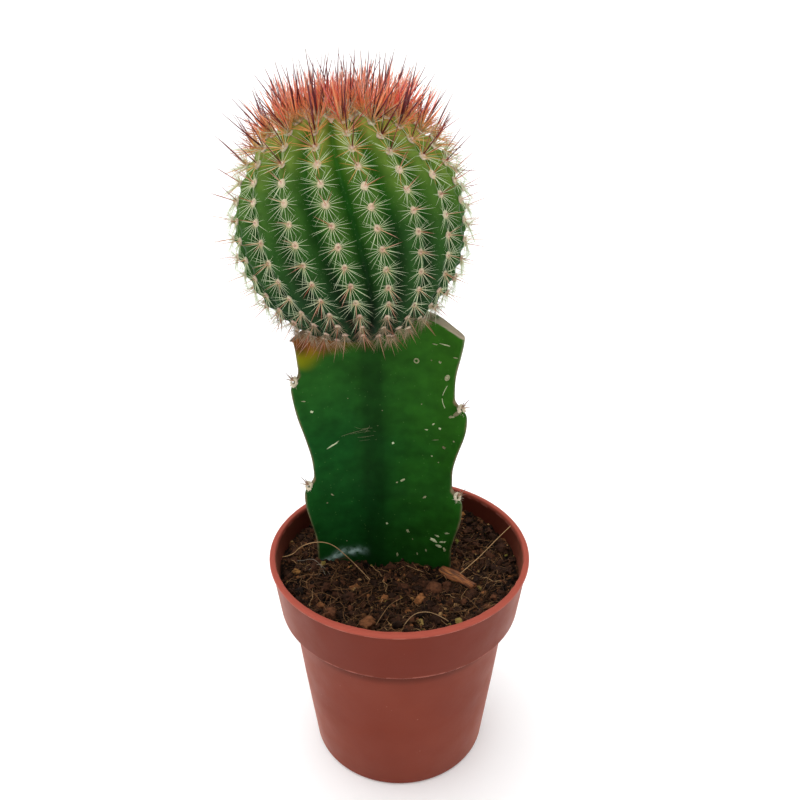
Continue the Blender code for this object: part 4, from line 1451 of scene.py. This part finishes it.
def buildRadials():
    chance = random.Random(32)
    models = [modelSpine("radial", 4, ball["radialThick"], bend) for bend in ball["radialBends"]]
    spots = []
    for polar, local in ballAreoles():
        high = 1 - fade(40, 80, polar)
        low = fade(100, 130, polar)
        lowest = fade(126, 142, polar)
        count = ball["radials"] + chance.choice((-1, 0, 0, 1)) + round(9 * high - 2 * low + 7 * lowest)
        for k in range(count):
            # most stand sideways and down, few up
            share = (k + chance.uniform(0.05, 0.95)) / count
            turn = math.pi + math.radians(mix(*ball["radialFan"], high)) * (2 * share - 1)
            upright = smoothStep(0.5, 1.0, abs(2 * share - 1))
            hanging = 1 - smoothStep(0.0, 0.35, abs(2 * share - 1))
            rise = mix(*ball["radialRise"], high) + 12 * upright + 16 * lowest
            rise = math.radians(rise + chance.uniform(-10, 10 + 10 * high + 14 * lowest))
            length = ball["radialLength"] * chance.uniform(0.78, 1.08) * mix(1, 0.72, upright * (1 - high))
            length *= mix(1.0, 1.14, hanging)
            length *= mix(1.0, 1.42, high) * mix(1.0, 0.88, lowest)
            direction = leaning(math.pi / 2 - rise, turn)
            root = Vector((direction.x, direction.y, 0)) * 0.3 * mm + Vector((0, 0, 0.2 * mm))
            red = chance.random() < high * 0.85
            tint = chance.uniform(0.7, 1.0) if red else chance.uniform(0.0, 0.35)
            if lowest > chance.random():
                tint = chance.uniform(0.42, 0.58)
            droop = Vector((chance.uniform(-0.7, 0.7), chance.uniform(-0.7, 0.7), -1))
            spots.append((models[chance.randrange(3)], local @ aim(root, direction, droop, length), tint))
    finishScatter("radialSpines", spots, models, paleSpine(), "ball_skin", "scion")


def paleSpine():
    # ordinary cream spines, brownish lower ones and the orange ones round the crown
    material = spineMaterial("paleSpine", (
        (0, 0, [(0.0, (186, 124, 92)), (0.08, (206, 196, 148)), (0.3, (216, 226, 184)),
                (1.0, (198, 210, 172))]),
        (0.36, 0.42, [(0.0, (194, 178, 148)), (0.5, (150, 128, 102)), (1.0, (96, 62, 48))]),
        (0.6, 0.66, [(0.0, (232, 204, 128)), (0.45, (226, 150, 84)), (1.0, (188, 74, 50))]),
    ))
    setShader(material, {"Roughness": 0.45})
    return material


# down to an angle from the axis: the spines that always stand, the others and how many of those;
# each has its shortest and longest length in mm, and its darkest and palest tint
centrals = (
    (50, ((9.0, 11.0, 0.0, 0.2), (7.5, 10.0, 0.1, 0.4)), (6.0, 8.5, 0.25, 0.5), (2, 3, 3)),
    (64, ((7.5, 9.5, 0.0, 0.25),), (4.5, 7.0, 0.25, 0.6), (1, 2, 2)),
    (80, (), (5.0, 6.6, 0.2, 0.55), (1, 1, 2)),
    (180, (), (4.0, 6.0, 0.5, 1.0), (1, 1, 2, 2, 3)),
)


def buildCentrals():
    chance = random.Random(33)
    models = [modelSpine("central", 5, ball["centralThick"], bend) for bend in ball["centralBends"]]
    spots = []

    def spine(shortest, longest, darkest, palest):
        return chance.uniform(shortest, longest), chance.uniform(darkest, palest)

    for polar, local in ballAreoles():
        angle = math.degrees(polar)
        always, others, counts = next(row[1:] for row in centrals if angle < row[0])
        kinds = [spine(*limits) for limits in always]
        kinds += [spine(*others) for k in range(chance.choice(counts))]
        for k, (length, tint) in enumerate(kinds):
            lift = math.radians(mix(22, 2, smoothStep(40, 95, angle)))
            if k == 0:
                direction = leaning(lift + chance.uniform(-0.08, 0.08), chance.uniform(-0.25, 0.25))
            else:
                direction = leaning(chance.uniform(0.25, 0.7), chance.uniform(-2.4, 2.4))
            root = Vector((direction.x, direction.y, 0)) * 0.3 * mm
            spot = local @ aim(root, direction, Vector((0.1, -1, 0.1)), length * mm)
            if insideStem(spot @ Vector((0, 0, 1)), 0.2 * mm):
                continue
            spots.append((models[k % 3], spot, tint))
    finishScatter("centralSpines", spots, models, darkSpine(), "crown_spines", "scion")


def darkSpine():
    # maroon in the young ones, going reddish and then pinkish brown further down the ball
    return spineMaterial("darkSpine", (
        (0, 0, [(0.0, (132, 52, 40)), (0.15, (84, 20, 26)), (0.75, (112, 36, 44)), (1.0, (150, 128, 124))]),
        (0.2, 0.32, [(0.0, (206, 150, 104)), (0.4, (170, 78, 56)), (1.0, (128, 60, 56))]),
        (0.55, 0.75, [(0.0, (216, 190, 146)), (0.5, (200, 148, 122)), (1.0, (142, 90, 80))]),
    ))


def crownAreoles():
    # a sunflower pattern over the recess at the ball's top
    golden = math.pi * (3 - math.sqrt(5))
    edge = math.radians(ball["crownEdge"])
    for k in range(crown["areoles"]):
        polar = edge * 0.98 * math.sqrt((k + 0.5) / crown["areoles"])
        turn = golden * k
        yield polar, turn


def crownSurface(polar, turn):
    edge = math.radians(ball["crownEdge"])
    proud = 0.6 * mm * (1 - smoothStep(edge * 0.8, edge * 1.12, polar))
    spot = polarPoint(1, polar, turn)
    lumps = 0.5 * mm * noise.noise(spot * 14) + 0.25 * mm * noise.noise(spot * 40)
    sink = 1.6 * mm * smoothStep(edge * 0.98, edge * 1.15, polar)
    return ball["radius"] + proud + lumps - sink


def crownWoolSkin():
    material = newMaterial("crownWool", 0.95)
    letLightThrough(material, 0.6, 1.5 * mm)
    setShader(material, {"Sheen Weight": 0.3})
    shade = cloud(material, 700, 5)
    stops = [(0.3, (212, 156, 128)), (0.5, (232, 194, 166)), (0.7, (242, 226, 204))]
    paint(material, "Base Color", ramp(material, shade, stops))
    roughen(material, cloud(material, 4200, 5), 0.9, 0.3 * mm)
    return material


def buildCrownWool():
    around, along = crown["around"], crown["along"]
    edge = math.radians(ball["crownEdge"])

    def skin(i, j):
        turn = math.tau * (i % around) / around
        if j >= along - 3:
            # turned in underneath, inside the ball
            inner = edge * 1.15 * (along - j) / 3
            return polarPoint(ball["radius"] - 3.2 * mm, inner, turn)
        polar = edge * 1.15 * j / (along - 4)
        return polarPoint(crownSurface(polar, turn), polar, turn)

    piece = wrapGrid("crownWool", around, along, skin)
    piece.matrix_world = ballPlace
    finishPiece(piece, crownWoolSkin(), "crown_spines", "crown")

    chance = random.Random(41)
    pads = [modelPebble("pad", 90 + k, 0.35, cuts=2) for k in range(3)]
    hair = modelSpine("hair", 3, 0.04, 0.3)
    spots = []
    for polar, turn in crownAreoles():
        outward = polarPoint(1, polar, turn)
        upward = up - outward * up.dot(outward) + Vector((0.001, 0, 0))
        local = ballPlace @ outwardFrame(outward * crownSurface(polar, turn), outward, upward)
        size = chance.uniform(*crown["padSize"]) * mm
        tint = chance.uniform(0.3, 0.6)
        squeeze = Matrix.Diagonal((size, size, size * 0.7, 1))
        spots.append((pads[chance.randrange(3)], local @ squeeze, tint))
        for stray in frizz(chance, crown["areoleHairs"], size, (0.2, 0.9), (0.2, 1.2), (0.8, 1.6)):
            spots.append((hair, local @ stray, tint - 0.1))
    finishScatter("crownTufts", spots, [hair, *pads], wool(), "crown_spines", "crown")


def brushPlaces():
    # where young spines stand: a frame whose +Z is their way up, how full the tuft is and how tall
    for polar, turn in crownAreoles():
        share = math.degrees(polar) / ball["crownEdge"]
        yield standingFrame(polar, turn, crownSurface(polar, turn)), 1.0, 1 + share * share * tallerAt(turn)
    for k in range(crown["edgeTufts"]):
        polar = math.radians(ball["crownEdge"] + (0.3, 1.8, 1.0)[k % 3])
        turn = math.tau * k / crown["edgeTufts"]
        yield standingFrame(polar, turn, ball["radius"] - 0.6 * mm), 1.0, 1 + tallerAt(turn)
    for polar, turn in alongRibs(crown["brushTo"]):
        full = 0.95 - fade(ball["crownEdge"] + 3, crown["brushTo"], polar)
        yield standingFrame(polar, turn, ballRadius(polar, turn)), max(full, 0), 1 + tallerAt(turn)


def tallerAt(turn):                         # less so at the back
    return crown["taller"] * (1 - 0.8 * max(math.sin(turn), 0))


def standingFrame(polar, turn, radius):
    lean = polar * polar / crown["leanBy"]
    heading = polarPoint(1, lean, turn) + Vector((crown["sway"], 0, 0))
    return ballPlace @ outwardFrame(polarPoint(radius, polar, turn), heading, Vector((0.3, 0.2, 0.1)))


def buildCrownSpines():
    chance = random.Random(42)
    short = [modelSpine("young", 4, crown["redThick"], bend) for bend in crown["redBends"]]
    long = [modelSpine("long", 5, crown["longThick"], bend) for bend in crown["longBends"]]
    redSpots, longSpots = [], []
    for standing, full, reach in brushPlaces():
        tall = reach * chance.uniform(0.74, 1.06)
        standing = standing @ Matrix.Rotation(chance.uniform(-0.2, 0.2), 4, "X")
        standing = standing @ Matrix.Rotation(chance.uniform(-0.2, 0.2), 4, "Y")
        reddish = chance.uniform(-0.3, 0.35)
        for k in range(round(crown["perTuft"] * full * chance.uniform(0.45, 1.35))):
            side = chance.uniform(0, math.tau)
            spread = chance.uniform(0.03, 0.5)
            start = Vector((math.sin(side), math.cos(side), 0)) * spread * 1.8 * mm
            length = chance.uniform(*crown["red"]) * mix(1.0, 0.78, spread / 0.5) * tall * mm
            spot = standing @ aim(start, leaning(spread, side), Vector((0.2, 0.1, 1)), length)
            redSpots.append((short[chance.randrange(3)], spot, min(max(chance.random() + reddish, 0), 1)))
        for k in range(chance.choice((0, 1, 1, 2)) if full > 0.3 else chance.choice((0, 1))):
            side = chance.uniform(0, math.tau)
            spread = chance.uniform(0.0, 0.35)
            spot = standing @ aim(Vector((0, 0, 0)), leaning(spread, side), Vector((0.2, 0.1, 1)),
                                  chance.uniform(*crown["long"]) * reach ** 0.6 * mm)
            longSpots.append((long[chance.randrange(3)], spot, chance.uniform(0, 0.2)))
    finishScatter("crownBrush", redSpots, short, youngSpine(), "crown_spines", "crown")
    finishScatter("crownNeedles", longSpots, long, darkSpine(), "crown_spines", "crown")


def youngSpine():
    # orange, and crimson in the redder tufts
    material = spineMaterial("youngSpine", (
        (0, 0, [(0.0, (255, 236, 212)), (0.12, (255, 206, 164)), (0.32, (255, 150, 104)),
                (0.75, (255, 120, 92)), (1.0, (232, 184, 170))]),
        (0.42, 0.92, [(0.0, (255, 214, 180)), (0.34, (250, 78, 62)), (0.8, (206, 46, 62)),
                      (1.0, (190, 150, 146))]),
    ))
    letLightThrough(material, 0.7, 1.5 * mm)
    return material


buildSoil()
buildGrains()
buildFibres()
buildRoots()
buildChip()
stemBody = buildStem()
buildStemAreoles()
buildStemMarks(stemBody)
buildBall()
buildBallWool()
buildRadials()
buildCentrals()
buildCrownWool()
buildCrownSpines()
